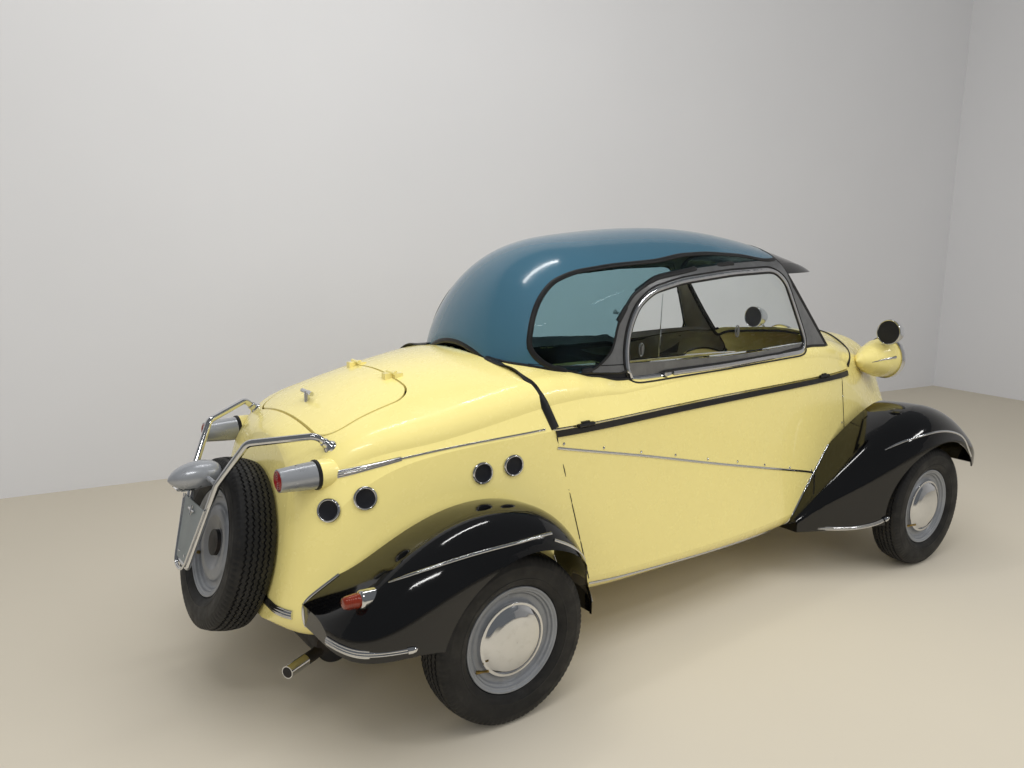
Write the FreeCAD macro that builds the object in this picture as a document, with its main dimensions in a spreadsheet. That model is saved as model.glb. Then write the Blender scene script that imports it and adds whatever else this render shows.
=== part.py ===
import FreeCAD, Part
import Sketcher
import math
import os

# Bubble car, four wheels, tandem seats, side-hinged canopy. Millimetres.
# X runs forward, Y to the left, Z up. The origin is on the ground, under mid-length, on the centre plane.

doc = FreeCAD.newDocument("bubble_car")
sheet = doc.addObject("Spreadsheet::Sheet", "sizes")

# Driving dimensions: alias, value, what it is
DIMENSIONS = (
    ("rear_axle_x", -840, "rear axle, from mid-length"),
    ("front_axle_x", 1050, "front axle, from mid-length"),
    ("half_track_rear", 525, "centre plane to the middle of a rear wheel"),
    ("half_track_front", 555, "centre plane to the middle of a front wheel"),
    ("tyre_radius", 225, "outer radius of a tyre"),
    ("tyre_width", 110, "section width of a tyre"),
    ("tread_width", 84, "width of the flat tread"),
    ("bead_radius", 127, "seat of the tyre on the rim"),
    ("rim_lip_radius", 140, "outer radius of the rim's lip"),
    ("rim_lip_offset", 42, "wheel's middle plane to the outer face of the rim's lip"),
    ("rim_sheet", 5, "thickness of the rim's steel"),
    ("hub_radius", 40, "flat hub face of the rim"),
    ("hubcap_radius", 84, "chrome hubcap"),
    ("hubcap_depth", 26, "height of the hubcap's dome"),
    ("axle_radius", 13, "stub axle"),
    ("axle_clearance", 0.08, "radial gap between stub axle and hub"),
    ("kingpin_offset", 45, "kingpin to the wheel's middle plane"),
    ("kingpin_radius", 9, "kingpin"),
    ("kingpin_clearance", 0.06, "radial gap between kingpin and knuckle"),
    ("beam_radius", 18, "front and rear axle tubes"),
    ("arch_radius", 258, "wheel opening of a wing, round the axle"),
    ("body_wall", 14, "body panel with its frame and lining"),
    ("wing_wall", 5, "wing with its inner stiffening"),
    ("dome_wall", 5, "moulded dome and window frames"),
    ("pane_thickness", 4, "side panes"),
    ("seam_gap", 6, "gap all round the canopy and the lid"),
    ("waist_height", 708, "joint between the canopy and the tub"),
    ("tail_seam_x", -609, "tail seam at the waist"),
    ("tail_seam_slope", 0.298, "how far the tail seam runs back for each unit of height"),
    ("nose_seam_x", 890, "seam between the tub and the nose"),
    ("cowl_seam_x", 965, "front seam of the canopy at the waist"),
    ("cowl_seam_slope", 1.5, "how far the cowl seam runs forward for each unit of height"),
    ("screen_radius", 330, "curve of the windscreen in plan"),
    ("screen_centre_x", 617, "centre of that curve at the sill height"),
    ("screen_sill_z", 831, "height at which that centre is given"),
    ("screen_slope", 0.98, "how far the windscreen runs back for each unit of height"),
    ("visor_reach", 95, "how far the visor stands in front of the windscreen"),
    ("visor_z", 1085, "lower edge of the visor"),
    ("trim_stand", 5, "how far rubber and trim stand off the panels"),
    ("strip_width", 18, "rubber strip along the waist"),
    ("hinge_rear_x", -500, "rear canopy hinge"),
    ("hinge_front_x", 750, "front canopy hinge"),
    ("hinge_radius", 6, "canopy hinge barrel"),
    ("hinge_pin_radius", 2.5, "canopy hinge pin"),
    ("hinge_clearance", 0.06, "radial gap in the canopy hinge"),
    ("hinge_length", 60, "canopy hinge, over its three barrels"),
    ("lid_front_x", -935, "front edge of the tail lid"),
    ("lid_rear_x", -1185, "rear edge of the tail lid"),
    ("lid_half_width", 235, "half the width of the tail lid"),
    ("lamp_radius", 80, "headlamp pod"),
    ("lamp_x", 1265, "headlamp bezel"),
    ("lamp_y", 255, "headlamp, from the centre plane"),
    ("lamp_z", 728, "headlamp centre height"),
    ("spare_z", 405, "centre height of the spare wheel"),
    ("bar_radius", 9, "carrier bars over the spare wheel"),
    ("seat_clearance", 0.3, "gap between a soft piece and what it rests on"),
)
for row, (alias, value, note) in enumerate(DIMENSIONS, start=1):
    sheet.set("A%d" % row, alias)
    sheet.set("B%d" % row, str(value))
    sheet.setAlias("B%d" % row, alias)
    sheet.set("C%d" % row, note)
doc.recompute()

nodes = []


def size(alias):
    """A driving dimension, read back from the sheet."""
    return float(sheet.get(alias))


def vec(x, y, z):
    return FreeCAD.Vector(x, y, z)


def keep(obj, label):
    """Mark an object as a sub-part of the car."""
    obj.Label = label
    nodes.append(obj)
    return obj


def feature(label, shape):
    """A sub-part whose shape comes from lofts or booleans of lofts."""
    obj = doc.addObject("Part::Feature", label)
    obj.Shape = shape
    return keep(obj, label)


def primitive(kind, name, expressions, base=None, rotation=None):
    """A Part primitive with sizes and place bound to the sheet."""
    obj = doc.addObject("Part::" + kind, name)
    if rotation:
        obj.Placement = FreeCAD.Placement(vec(0, 0, 0), rotation)
    for prop, expression in expressions.items():
        obj.setExpression(prop, expression)
    for letter, expression in zip("xyz", base or ()):
        obj.setExpression("Placement.Base." + letter, expression)
    return obj


def fuse(name, parts):
    obj = doc.addObject("Part::MultiFuse", name)
    obj.Shapes = parts
    return obj


def cut(name, base, tool):
    obj = doc.addObject("Part::Cut", name)
    obj.Base = base
    obj.Tool = tool
    return obj


def turned(name, profile):
    """A PartDesign body turned about its own X axis; profile rows are (along, radius) expressions."""
    body = doc.addObject("PartDesign::Body", name)
    plane = [item for item in body.Origin.OriginFeatures if item.Role == "XZ_Plane"][0]
    sketch = body.newObject("Sketcher::SketchObject", name + "_profile")
    sketch.AttachmentSupport = (plane, [""])
    sketch.MapMode = "FlatFace"
    count = len(profile)
    ring = [vec(200 + 50 * math.cos(2 * math.pi * i / count), 300 + 50 * math.sin(2 * math.pi * i / count), 0)
            for i in range(count)]
    for i in range(count):
        sketch.addGeometry(Part.LineSegment(ring[i], ring[(i + 1) % count]), False)
    for i in range(count):
        sketch.addConstraint(Sketcher.Constraint("Coincident", i, 2, (i + 1) % count, 1))
    for i, (along, radius) in enumerate(profile):
        across = sketch.addConstraint(Sketcher.Constraint("DistanceX", -1, 1, i, 1, ring[i].x))
        sketch.setExpression("Constraints[%d]" % across, along)
        up = sketch.addConstraint(Sketcher.Constraint("DistanceY", -1, 1, i, 1, ring[i].y))
        sketch.setExpression("Constraints[%d]" % up, radius)
    turn = body.newObject("PartDesign::Revolution", name + "_turn")
    turn.Profile = sketch
    turn.ReferenceAxis = (sketch, ["H_Axis"])
    turn.Angle = 360
    body.Tip = turn
    return body


def place(x, y, z, direction=None):
    """A placement that turns the X axis to a direction."""
    turn = FreeCAD.Rotation(vec(1, 0, 0), direction) if direction else FreeCAD.Rotation()
    return FreeCAD.Placement(vec(x, y, z), turn)


# Cross sections and lofts

# Body: lean is how far a section runs forward for each unit of height above LEAN_FROM
LEAN_FROM = 278
BODY = (
    # x, lean, z_floor, r_floor, half_floor, z_waist, half_waist, z_shoulder, half_shoulder, z_crown, r_shoulder
    (-1345, 0.237, 275, 50, 235, 480, 228, 570, 205, 695, 70),
    (-1305, 0.237, 268, 60, 335, 520, 322, 630, 296, 738, 60),
    (-1160, 0.15, 262, 70, 400, 640, 366, 690, 345, 795, 60),
    (-800, 0, 260, 70, 425, 695, 408, 735, 390, 868, 75),
    (-600, 0, 215, 60, 428, 705, 428, 770, 402, 884, 75),
    (-150, 0, 190, 50, 422, 705, 392, 792, 356, 880, 55),
    (400, 0, 190, 50, 405, 705, 348, 795, 322, 868, 50),
    (800, 0, 215, 60, 372, 705, 314, 770, 297, 852, 65),
    (1100, 0, 262, 70, 318, 560, 285, 690, 232, 826, 90),
    (1300, 0, 270, 70, 262, 520, 236, 650, 170, 792, 85),
    (1430, 0, 300, 60, 175, 480, 164, 622, 118, 712, 55),
    (1500, 0, 380, 30, 75, 450, 72, 535, 60, 580, 28),
)

# Glasshouse over the cabin, same columns; it runs on under the cowl, where the windscreen cuts it
GLASSHOUSE = (
    (-672, 0, 640, 20, 160, 700, 150, 760, 135, 890, 70),
    (-625, 0, 640, 20, 272, 740, 254, 840, 227, 1005, 100),
    (-500, 0, 640, 20, 364, 760, 344, 920, 307, 1150, 140),
    (-250, 0, 640, 20, 373, 800, 346, 1010, 310, 1220, 120),
    (100, 0, 640, 20, 356, 800, 329, 1040, 288, 1240, 110),
    (550, 0, 640, 20, 334, 800, 307, 1040, 266, 1195, 100),
    (1000, 0, 640, 20, 268, 760, 254, 930, 232, 1060, 80),
)


def arc(start, middle, end):
    return Part.Arc(start, middle, end).toShape()


def line(start, end):
    return Part.LineSegment(start, end).toShape()


def crown_join(half, rise, radius):
    """Where the shoulder arc meets the crown arc, as the angle round the shoulder's centre."""
    crown = ((half - radius) ** 2 + rise ** 2 - radius ** 2) / (2 * (rise - radius))
    return math.atan2(crown - rise, half - radius)


def hull_wire(row, inset, shift):
    """A closed cross section of the body or glasshouse, drawn in by an inset."""
    x, lean, z_floor, r_floor, half_floor, z_waist, half_waist, z_shoulder, half_shoulder, z_crown, r_shoulder = row
    z_floor, z_crown = z_floor + inset, z_crown - inset
    half_floor, half_waist, half_shoulder = half_floor - inset, half_waist - inset, half_shoulder - inset
    r_floor, r_shoulder = r_floor - inset, r_shoulder - inset
    angle = crown_join(half_shoulder, z_crown - z_shoulder, r_shoulder)
    slant = math.sqrt(0.5)

    def point(side, y, z):
        return vec(x + shift + lean * (z - LEAN_FROM), side * y, z)

    def shoulder(side, turn):
        return point(side, half_shoulder - r_shoulder * (1 - math.cos(turn)), z_shoulder + r_shoulder * math.sin(turn))

    def corner(side):
        return point(side, half_floor - r_floor * (1 - slant), z_floor + r_floor * (1 - slant))

    low, high = half_floor - r_floor, z_floor + r_floor
    return Part.Wire([
        line(point(-1, low, z_floor), point(1, low, z_floor)),
        arc(point(1, low, z_floor), corner(1), point(1, half_floor, high)),
        line(point(1, half_floor, high), point(1, half_waist, z_waist)),
        line(point(1, half_waist, z_waist), point(1, half_shoulder, z_shoulder)),
        arc(point(1, half_shoulder, z_shoulder), shoulder(1, angle / 2), shoulder(1, angle)),
        arc(shoulder(1, angle), point(1, 0, z_crown), shoulder(-1, angle)),
        arc(shoulder(-1, angle), shoulder(-1, angle / 2), point(-1, half_shoulder, z_shoulder)),
        line(point(-1, half_shoulder, z_shoulder), point(-1, half_waist, z_waist)),
        line(point(-1, half_waist, z_waist), point(-1, half_floor, high)),
        arc(point(-1, half_floor, high), corner(-1), point(-1, low, z_floor)),
    ])


def hull(rows, inset):
    """The solid through all sections, drawn in by an inset, at its two ends as well."""
    last = len(rows) - 1
    shifts = [inset if i == 0 else -inset if i == last else 0 for i in range(len(rows))]
    return Part.makeLoft([hull_wire(row, inset, shift) for row, shift in zip(rows, shifts)], True, False, False, 3)


FAR = 2000


def ahead_of(x, z, slope):
    """All space in front of a plane across the car through x, z that runs forward by slope for each height."""
    corners = [(x + slope * (h - z), h) for h in (-FAR, FAR)]
    outline = [vec(corners[0][0], -FAR, -FAR), vec(corners[1][0], -FAR, FAR),
               vec(3 * FAR + abs(slope) * FAR, -FAR, FAR), vec(3 * FAR + abs(slope) * FAR, -FAR, -FAR)]
    face = Part.Face(Part.makePolygon(outline + outline[:1]))
    return face.extrude(vec(0, 2 * FAR, 0))


def slab(z_low, z_high):
    return Part.makeBox(2 * FAR, 2 * FAR, z_high - z_low, vec(-FAR, -FAR, z_low))


def side_prism(outline, y_low, y_high):
    """A closed X-Z outline of points, pushed through from y_low to y_high."""
    ring = [vec(x, y_low, z) for x, z in outline]
    face = Part.Face(Part.makePolygon(ring + ring[:1]))
    return face.extrude(vec(0, y_high - y_low, 0))


wall = size("body_wall")
gap = size("seam_gap")
waist = size("waist_height")
body_outer = hull(BODY, 0)
body_inner = hull(BODY, wall)
body_shell = body_outer.cut(body_inner)
glass_outer = hull(GLASSHOUSE, 0)
glass_inner = hull(GLASSHOUSE, size("dome_wall"))
glass_innermost = hull(GLASSHOUSE, size("dome_wall") + size("pane_thickness"))


def screen_space(back):
    """All space behind the windscreen's surface, moved back by a distance."""
    sill, radius, slope = size("screen_sill_z"), size("screen_radius"), size("screen_slope")
    z_low, z_high = 600, 1400
    centre = size("screen_centre_x") - slope * (z_low - sill) - back
    reach = radius - back
    outline = [arc(vec(centre, -reach, z_low), vec(centre + reach, 0, z_low), vec(centre, reach, z_low))]
    path = [vec(centre, reach, z_low), vec(centre, FAR, z_low), vec(-2 * FAR, FAR, z_low),
            vec(-2 * FAR, -FAR, z_low), vec(centre, -FAR, z_low), vec(centre, -reach, z_low)]
    outline += [line(a, b) for a, b in zip(path, path[1:])]
    face = Part.Face(Part.Wire(outline))
    return face.extrude(vec(-slope * (z_high - z_low), 0, z_high - z_low))


# Panels of the body

tail_x, tail_slope = size("tail_seam_x"), -size("tail_seam_slope")
cowl_x, cowl_slope = size("cowl_seam_x"), size("cowl_seam_slope")
nose_x = size("nose_seam_x")


def seam_x(x, slope, z):
    """Where a slanted seam that crosses the waist at x lies at a height."""
    return x + slope * (z - waist)


def canopy_space(grow):
    """The space that the canopy takes between its seams, grown by a distance."""
    low, high = waist + gap / 2 - grow, FAR
    rear, front = tail_x + gap / 2 - grow, cowl_x - gap / 2 + grow
    outline = [(seam_x(rear, tail_slope, low), low), (seam_x(front, cowl_slope, low), low),
               (seam_x(front, cowl_slope, high), high), (seam_x(rear, tail_slope, high), high)]
    return side_prism(outline, -FAR, FAR)


canopy_room = canopy_space(0)
around_canopy = canopy_space(gap)
tail_side = ahead_of(tail_x, waist, tail_slope)
nose_side = ahead_of(nose_x, waist, 0)

tub_shell = body_shell.common(tail_side).cut(nose_side).cut(around_canopy)
nose_shell = body_shell.common(nose_side).cut(around_canopy)
tail_full = body_shell.cut(tail_side).cut(around_canopy)

screen_outer = screen_space(0)
screen_inner = screen_space(size("pane_thickness"))
skirt = body_shell.common(canopy_room).cut(glass_outer.common(screen_outer))

# Tail lid, cut out of the tail's deck by an upright prism with rounded corners


def lid_prism(grow):
    """The lid's outline in plan, pushed upwards, grown by a distance."""
    front, rear, half = size("lid_front_x") + grow, size("lid_rear_x") - grow, size("lid_half_width") + grow
    box = Part.makeBox(front - rear, 2 * half, 500, vec(rear, -half, 640))
    upright = [edge for edge in box.Edges if abs(edge.tangentAt(0).z) > 0.9]
    return box.makeFillet(60 + grow, upright)


tail_lid = tail_full.common(lid_prism(0))
tail_shell = tail_full.cut(lid_prism(gap))

# Canopy: dome, window frames, panes, windscreen and visor

ROUND_WINDOW = ((-262, 806), (-262, 880), (-240, 945), (-198, 1006), (-129, 1046), (11, 1070), (264, 1087),
                (505, 1092), (559, 1048), (656, 838), (635, 814), (178, 806))
FRAME_OUTLINE = ((-520, 600), (-510, 828), (-400, 840), (-326, 885), (-290, 970), (-222, 1045), (-105, 1092),
                 (113, 1116), (322, 1127), (560, 1133), (900, 1133), (900, 600))
frame_prism = side_prism(FRAME_OUTLINE, -FAR, FAR)
window_prism = side_prism(ROUND_WINDOW, -FAR, FAR)
glass_wall = glass_outer.cut(glass_inner).common(canopy_room).cut(body_inner)
glass_wall_behind = glass_wall.common(screen_outer)
dome = glass_wall_behind.cut(frame_prism)
window_frames = glass_wall_behind.common(frame_prism).cut(window_prism)
pane_room = side_prism([(x * 1.02 - 3, (z - 940) * 1.06 + 940) for x, z in ROUND_WINDOW], -FAR, FAR)
panes = glass_inner.cut(glass_innermost).common(screen_inner).common(pane_room).cut(body_outer)
windscreen = glass_inner.common(screen_outer).cut(screen_inner).cut(body_inner).common(slab(0, FAR))
visor_room = screen_space(-size("visor_reach")).cut(screen_outer).common(slab(size("visor_z"), FAR))
visor = glass_outer.cut(glass_inner).common(visor_room)

SIDES = (("right", -1), ("left", 1))

for label, shape in (("nose_shell", nose_shell), ("canopy_dome", dome), ("windscreen", windscreen),
                     ("windscreen_visor", visor)):
    feature(label, shape)
feature("window_frames", window_frames)
feature("side_panes", panes)

# Wings: half pods beside the body, open below and round the wheel

REAR_WING = (
    # dx from the axle, y_out, y_crest, y_in, z_low, z_side, z_top, z_in, r_side
    (-455, 470, 400, 250, 300, 316, 352, 345, 24),
    (-360, 612, 505, 330, 300, 352, 440, 425, 60),
    (-200, 646, 515, 350, 290, 425, 535, 510, 80),
    (-30, 650, 515, 380, 240, 455, 568, 548, 85),
    (130, 645, 515, 380, 230, 418, 525, 498, 80),
    (225, 600, 505, 400, 225, 305, 385, 368, 60),
    (268, 555, 490, 400, 225, 250, 290, 282, 28),
)
FRONT_WING = (
    (-550, 428, 405, 330, 185, 214, 232, 228, 14),
    (-420, 500, 440, 330, 190, 300, 350, 342, 36),
    (-260, 585, 480, 300, 200, 392, 482, 465, 65),
    (-100, 638, 505, 270, 215, 465, 576, 548, 85),
    (50, 650, 508, 230, 250, 475, 592, 560, 90),
    (180, 648, 508, 190, 330, 428, 535, 508, 80),
    (290, 612, 500, 130, 352, 385, 428, 410, 30),
)
WING_MOUTH = 120


def wing_wire(side, x, row, inset):
    """A wing's cross section: upright outer side, rounded shoulder, crest, then in to the body."""
    _, y_out, y_crest, y_in, z_low, z_side, z_top, z_in, r_side = row
    if inset:
        z_low, y_in = z_low - WING_MOUTH, y_in - WING_MOUTH
    y_out, z_top, z_in, r_side = y_out - inset, z_top - inset, z_in - inset, r_side - inset / 2
    half, rise = y_out - y_crest, z_top - z_side
    angle = crown_join(half, rise, r_side)
    crown = ((half - r_side) ** 2 + rise ** 2 - r_side ** 2) / (2 * (rise - r_side))
    inner = ((y_crest - y_in) ** 2 + (z_top - z_in) ** 2) / (2 * (z_top - z_in))

    def point(y, z):
        return vec(x, side * y, z)

    def shoulder(turn):
        return point(y_out - r_side * (1 - math.cos(turn)), z_side + r_side * math.sin(turn))

    def on_arc(centre_z, radius, turn):
        return point(y_crest + radius * math.sin(turn), centre_z + radius * math.cos(turn))

    outer_turn = math.pi / 2 - angle
    inner_turn = -math.asin((y_crest - y_in) / inner)
    return Part.Wire([
        line(point(y_in, z_low), point(y_out, z_low)),
        line(point(y_out, z_low), point(y_out, z_side)),
        arc(point(y_out, z_side), shoulder(angle / 2), shoulder(angle)),
        arc(shoulder(angle), on_arc(z_top - crown, crown, outer_turn / 2), point(y_crest, z_top)),
        arc(point(y_crest, z_top), on_arc(z_top - inner, inner, inner_turn / 2), point(y_in, z_in)),
        line(point(y_in, z_in), point(y_in, z_low)),
    ])


def wing_pod(side, axle_x, rows, inset):
    last = len(rows) - 1
    shifts = [inset if i == 0 else -inset if i == last else 0 for i in range(len(rows))]
    wires = [wing_wire(side, axle_x + row[0] + shift, row, inset) for row, shift in zip(rows, shifts)]
    return Part.makeLoft(wires, True, False, False, 3)


def wing(side, axle_x, rows):
    pod = wing_pod(side, axle_x, rows, 0).cut(wing_pod(side, axle_x, rows, size("wing_wall")))
    wheel_opening = Part.makeCylinder(size("arch_radius"), 400, vec(axle_x, side * 420, size("tyre_radius")),
                                      vec(0, side, 0))
    return pod.cut(body_outer).cut(wheel_opening)


rear_x, front_x = size("rear_axle_x"), size("front_axle_x")
axle_z = size("tyre_radius")
for side_name, side in SIDES:
    feature("rear_wing_" + side_name, wing(side, rear_x, REAR_WING))
    feature("front_wing_" + side_name, wing(side, front_x, FRONT_WING))

# Wheels: tyre, rim and hubcap are turned about X, then set across the car

TYRE = (
    ("-sizes.rim_lip_offset + 6", "sizes.bead_radius"),
    ("sizes.rim_lip_offset - 6", "sizes.bead_radius"),
    ("sizes.rim_lip_offset - 6", "sizes.rim_lip_radius + 1"),
    ("sizes.tyre_width / 2 - 2", "(sizes.rim_lip_radius + sizes.tyre_radius) / 2 - 12"),
    ("sizes.tyre_width / 2", "(sizes.rim_lip_radius + sizes.tyre_radius) / 2 + 6"),
    ("sizes.tyre_width / 2 - 4", "(sizes.rim_lip_radius + sizes.tyre_radius) / 2 + 22"),
    ("sizes.tread_width / 2", "sizes.tyre_radius - 6"),
    ("sizes.tread_width / 4", "sizes.tyre_radius - 1"),
    ("0", "sizes.tyre_radius"),
    ("-sizes.tread_width / 4", "sizes.tyre_radius - 1"),
    ("-sizes.tread_width / 2", "sizes.tyre_radius - 6"),
    ("-sizes.tyre_width / 2 + 4", "(sizes.rim_lip_radius + sizes.tyre_radius) / 2 + 22"),
    ("-sizes.tyre_width / 2", "(sizes.rim_lip_radius + sizes.tyre_radius) / 2 + 6"),
    ("-sizes.tyre_width / 2 + 2", "(sizes.rim_lip_radius + sizes.tyre_radius) / 2 - 12"),
    ("-sizes.rim_lip_offset + 6", "sizes.rim_lip_radius + 1"),
)
# The rim's well, flange and dished disc, from the inner lip to the hub and back along the inside
RIM = (
    ("-sizes.rim_lip_offset", "sizes.rim_lip_radius"),
    ("-sizes.rim_lip_offset + 6", "sizes.rim_lip_radius"),
    ("-sizes.rim_lip_offset + 6", "sizes.bead_radius"),
    ("-14", "sizes.bead_radius"),
    ("-6", "sizes.bead_radius - 14"),
    ("10", "sizes.bead_radius - 14"),
    ("18", "sizes.bead_radius"),
    ("sizes.rim_lip_offset - 6", "sizes.bead_radius"),
    ("sizes.rim_lip_offset - 6", "sizes.rim_lip_radius"),
    ("sizes.rim_lip_offset", "sizes.rim_lip_radius"),
    ("sizes.rim_lip_offset", "sizes.bead_radius - sizes.rim_sheet"),
    ("26", "sizes.bead_radius - sizes.rim_sheet - 6"),
    ("20", "sizes.bead_radius - sizes.rim_sheet - 22"),
    ("30", "sizes.hubcap_radius + 4"),
    ("34", "sizes.hubcap_radius - 14"),
    ("24", "sizes.hub_radius + 4"),
    ("24", "sizes.axle_radius + sizes.axle_clearance"),
    ("8", "sizes.axle_radius + sizes.axle_clearance"),
    ("8", "sizes.hub_radius - 12"),
    ("18", "sizes.hub_radius"),
    ("26", "sizes.hubcap_radius - 18"),
    ("22", "sizes.hubcap_radius + 2"),
    ("12", "sizes.bead_radius - sizes.rim_sheet - 18"),
    ("-6 - sizes.rim_sheet / 2", "sizes.bead_radius - 14 - sizes.rim_sheet"),
    ("-14 - sizes.rim_sheet / 2", "sizes.bead_radius - sizes.rim_sheet"),
    ("-sizes.rim_lip_offset", "sizes.bead_radius - sizes.rim_sheet"),
)
HUBCAP = (
    ("34", "sizes.hubcap_radius - 12"),
    ("36", "sizes.hubcap_radius"),
    ("39", "sizes.hubcap_radius"),
    ("30 + sizes.hubcap_depth * 0.6", "sizes.hubcap_radius * 0.8"),
    ("30 + sizes.hubcap_depth * 0.9", "sizes.hubcap_radius * 0.5"),
    ("30 + sizes.hubcap_depth", "0"),
    ("28 + sizes.hubcap_depth", "0"),
    ("28 + sizes.hubcap_depth * 0.9", "sizes.hubcap_radius * 0.5"),
    ("28 + sizes.hubcap_depth * 0.6", "sizes.hubcap_radius * 0.78"),
)
WHEELS = (
    ("rear", "right", -1, "rear_axle_x", "half_track_rear"),
    ("rear", "left", 1, "rear_axle_x", "half_track_rear"),
    ("front", "right", -1, "front_axle_x", "half_track_front"),
    ("front", "left", 1, "front_axle_x", "half_track_front"),
)
for end, side_name, side, axle, track in WHEELS:
    for piece, profile in (("tyre", TYRE), ("rim", RIM), ("hubcap", HUBCAP)):
        label = "_".join((piece, end, side_name))
        body = turned(label, profile)
        body.Placement = place(0, 0, 0, vec(0, side, 0))
        body.setExpression("Placement.Base.x", "sizes." + axle)
        body.setExpression("Placement.Base.y", "%d * sizes.%s" % (side, track))
        body.setExpression("Placement.Base.z", "sizes.tyre_radius")
        keep(body, label)


# Spare wheel, against the slanted tail

tail_lean = BODY[0][1]
spare_turn = math.atan(tail_lean)
spare_normal = vec(-math.cos(spare_turn), 0, math.sin(spare_turn))
spare_up = vec(math.sin(spare_turn), 0, math.cos(spare_turn))
tail_face = vec(BODY[0][0] + tail_lean * (size("spare_z") - LEAN_FROM), 0, size("spare_z"))
spare_centre = tail_face + spare_normal * (size("tyre_width") / 2 + size("seat_clearance"))
for piece, profile in (("spare_tyre", TYRE), ("spare_rim", RIM)):
    body = turned(piece, profile)
    body.Placement = FreeCAD.Placement(spare_centre, FreeCAD.Rotation(vec(1, 0, 0), spare_normal))
    keep(body, piece)


def spare_point(out, up, y):
    """A point given from the spare wheel's centre: outwards, up along its face, and across."""
    return spare_centre + spare_normal * out + spare_up * up + vec(0, y, 0)


hub_reach = size("tyre_width") / 2 + size("seat_clearance") + 30
spare_stud = Part.makeCylinder(size("axle_radius") + size("axle_clearance"), hub_reach, tail_face, spare_normal)
spare_nut = Part.makeCylinder(34, 10, spare_point(24, 0, 0), spare_normal)
feature("spare_stud", spare_stud.fuse(spare_nut))


def tube(points, radius, bend):
    """A round bar along straight runs joined by tangent arcs."""
    edges = []
    start = points[0]
    for before, corner_point, after in zip(points, points[1:], points[2:]):
        back, on = (before - corner_point).normalize(), (after - corner_point).normalize()
        half_turn = (math.pi - back.getAngle(on)) / 2
        trim = bend * math.tan(half_turn)
        enter, leave = corner_point + back * trim, corner_point + on * trim
        middle = (back + on).normalize()
        middle = corner_point + middle * (bend / math.cos(half_turn) - bend)
        edges += [line(start, enter), arc(enter, middle, leave)]
        start = leave
    edges.append(line(start, points[-1]))
    path = Part.Wire(edges)
    ring = Part.Wire(Part.makeCircle(radius, points[0], points[1] - points[0]))
    return path.makePipeShell([ring], True, True)


def carrier_bar(side):
    points = [vec(-1165, side * 262, 690), vec(-1215, side * 255, 738), vec(-1350, side * 150, 716),
              spare_point(85, 175, side * 95), spare_point(98, -55, side * 30)]
    return tube(points, size("bar_radius"), 28)


bar_foot = spare_point(98, -55, -34)
carrier = carrier_bar(-1).fuse([carrier_bar(1), Part.makeCylinder(size("bar_radius"), 68, bar_foot, vec(0, 1, 0))])
feature("carrier_bars", carrier.cut(body_outer))
plate_up = (spare_point(85, 175, 0) - spare_point(98, -55, 0)).normalize()
plate_out = vec(-plate_up.z, 0, plate_up.x)
plate_foot = spare_point(98, -55, 0) + plate_up * 60 + plate_out * size("bar_radius")
plate = Part.makeBox(3, 210, 95)
plate.Placement = FreeCAD.Placement(plate_foot, FreeCAD.Rotation(plate_out, vec(0, 1, 0), plate_up, "XYZ"))
plate.translate(vec(0, -105, 0))
feature("number_plate", plate)

# Axles and knuckles


def block(x_low, x_high, y_low, y_high, z_low, z_high):
    return Part.makeBox(x_high - x_low, y_high - y_low, z_high - z_low, vec(x_low, y_low, z_low))


def across(x, z, y_low, y_high, radius):
    return Part.makeCylinder(radius, y_high - y_low, vec(x, y_low, z), vec(0, 1, 0))


def axle_pads(x):
    """Two brackets that hang an axle tube from the floor."""
    pads = [block(x - 35, x + 35, side * 240 - 30, side * 240 + 30, axle_z - 10, axle_z + 120) for side in (-1, 1)]
    return pads[0].fuse(pads[1])


stub = size("axle_radius")
plate_radius, plate_in, plate_width, stub_end = 82, 14, 10, 23
rear_half, front_half = size("half_track_rear"), size("half_track_front")
rear_axle = across(rear_x, axle_z, -(rear_half - plate_in), rear_half - plate_in, size("beam_radius"))
rear_axle = rear_axle.fuse([across(rear_x, axle_z, -rear_half - stub_end, rear_half + stub_end, stub),
                            across(rear_x, axle_z, -rear_half + plate_in - plate_width, -rear_half + plate_in, plate_radius),
                            across(rear_x, axle_z, rear_half - plate_in, rear_half - plate_in + plate_width, plate_radius),
                            axle_pads(rear_x)])
feature("rear_axle", rear_axle.cut(body_outer))

kingpin_y = front_half - size("kingpin_offset")
kingpin = size("kingpin_radius")
sleeve_radius, sleeve_half, yoke_thick = 18, 42, 12
front_parts = [axle_pads(front_x)]
for side in (-1, 1):
    centre_y = side * kingpin_y
    web = sorted((centre_y - side * 36, centre_y - side * 24))
    arm = sorted((centre_y - side * 36, centre_y + side * 14))
    top = sleeve_half + 1
    front_parts += [
        block(front_x - 16, front_x + 16, web[0], web[1], axle_z - top - yoke_thick, axle_z + top + yoke_thick),
        block(front_x - 16, front_x + 16, arm[0], arm[1], axle_z + top, axle_z + top + yoke_thick),
        block(front_x - 16, front_x + 16, arm[0], arm[1], axle_z - top - yoke_thick, axle_z - top),
        Part.makeCylinder(kingpin, 2 * (top + yoke_thick), vec(front_x, centre_y, axle_z - top - yoke_thick))]
front_axle = across(front_x, axle_z, -kingpin_y + 30, kingpin_y - 30, size("beam_radius")).fuse(front_parts)
feature("front_axle", front_axle.cut(body_outer))

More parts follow.
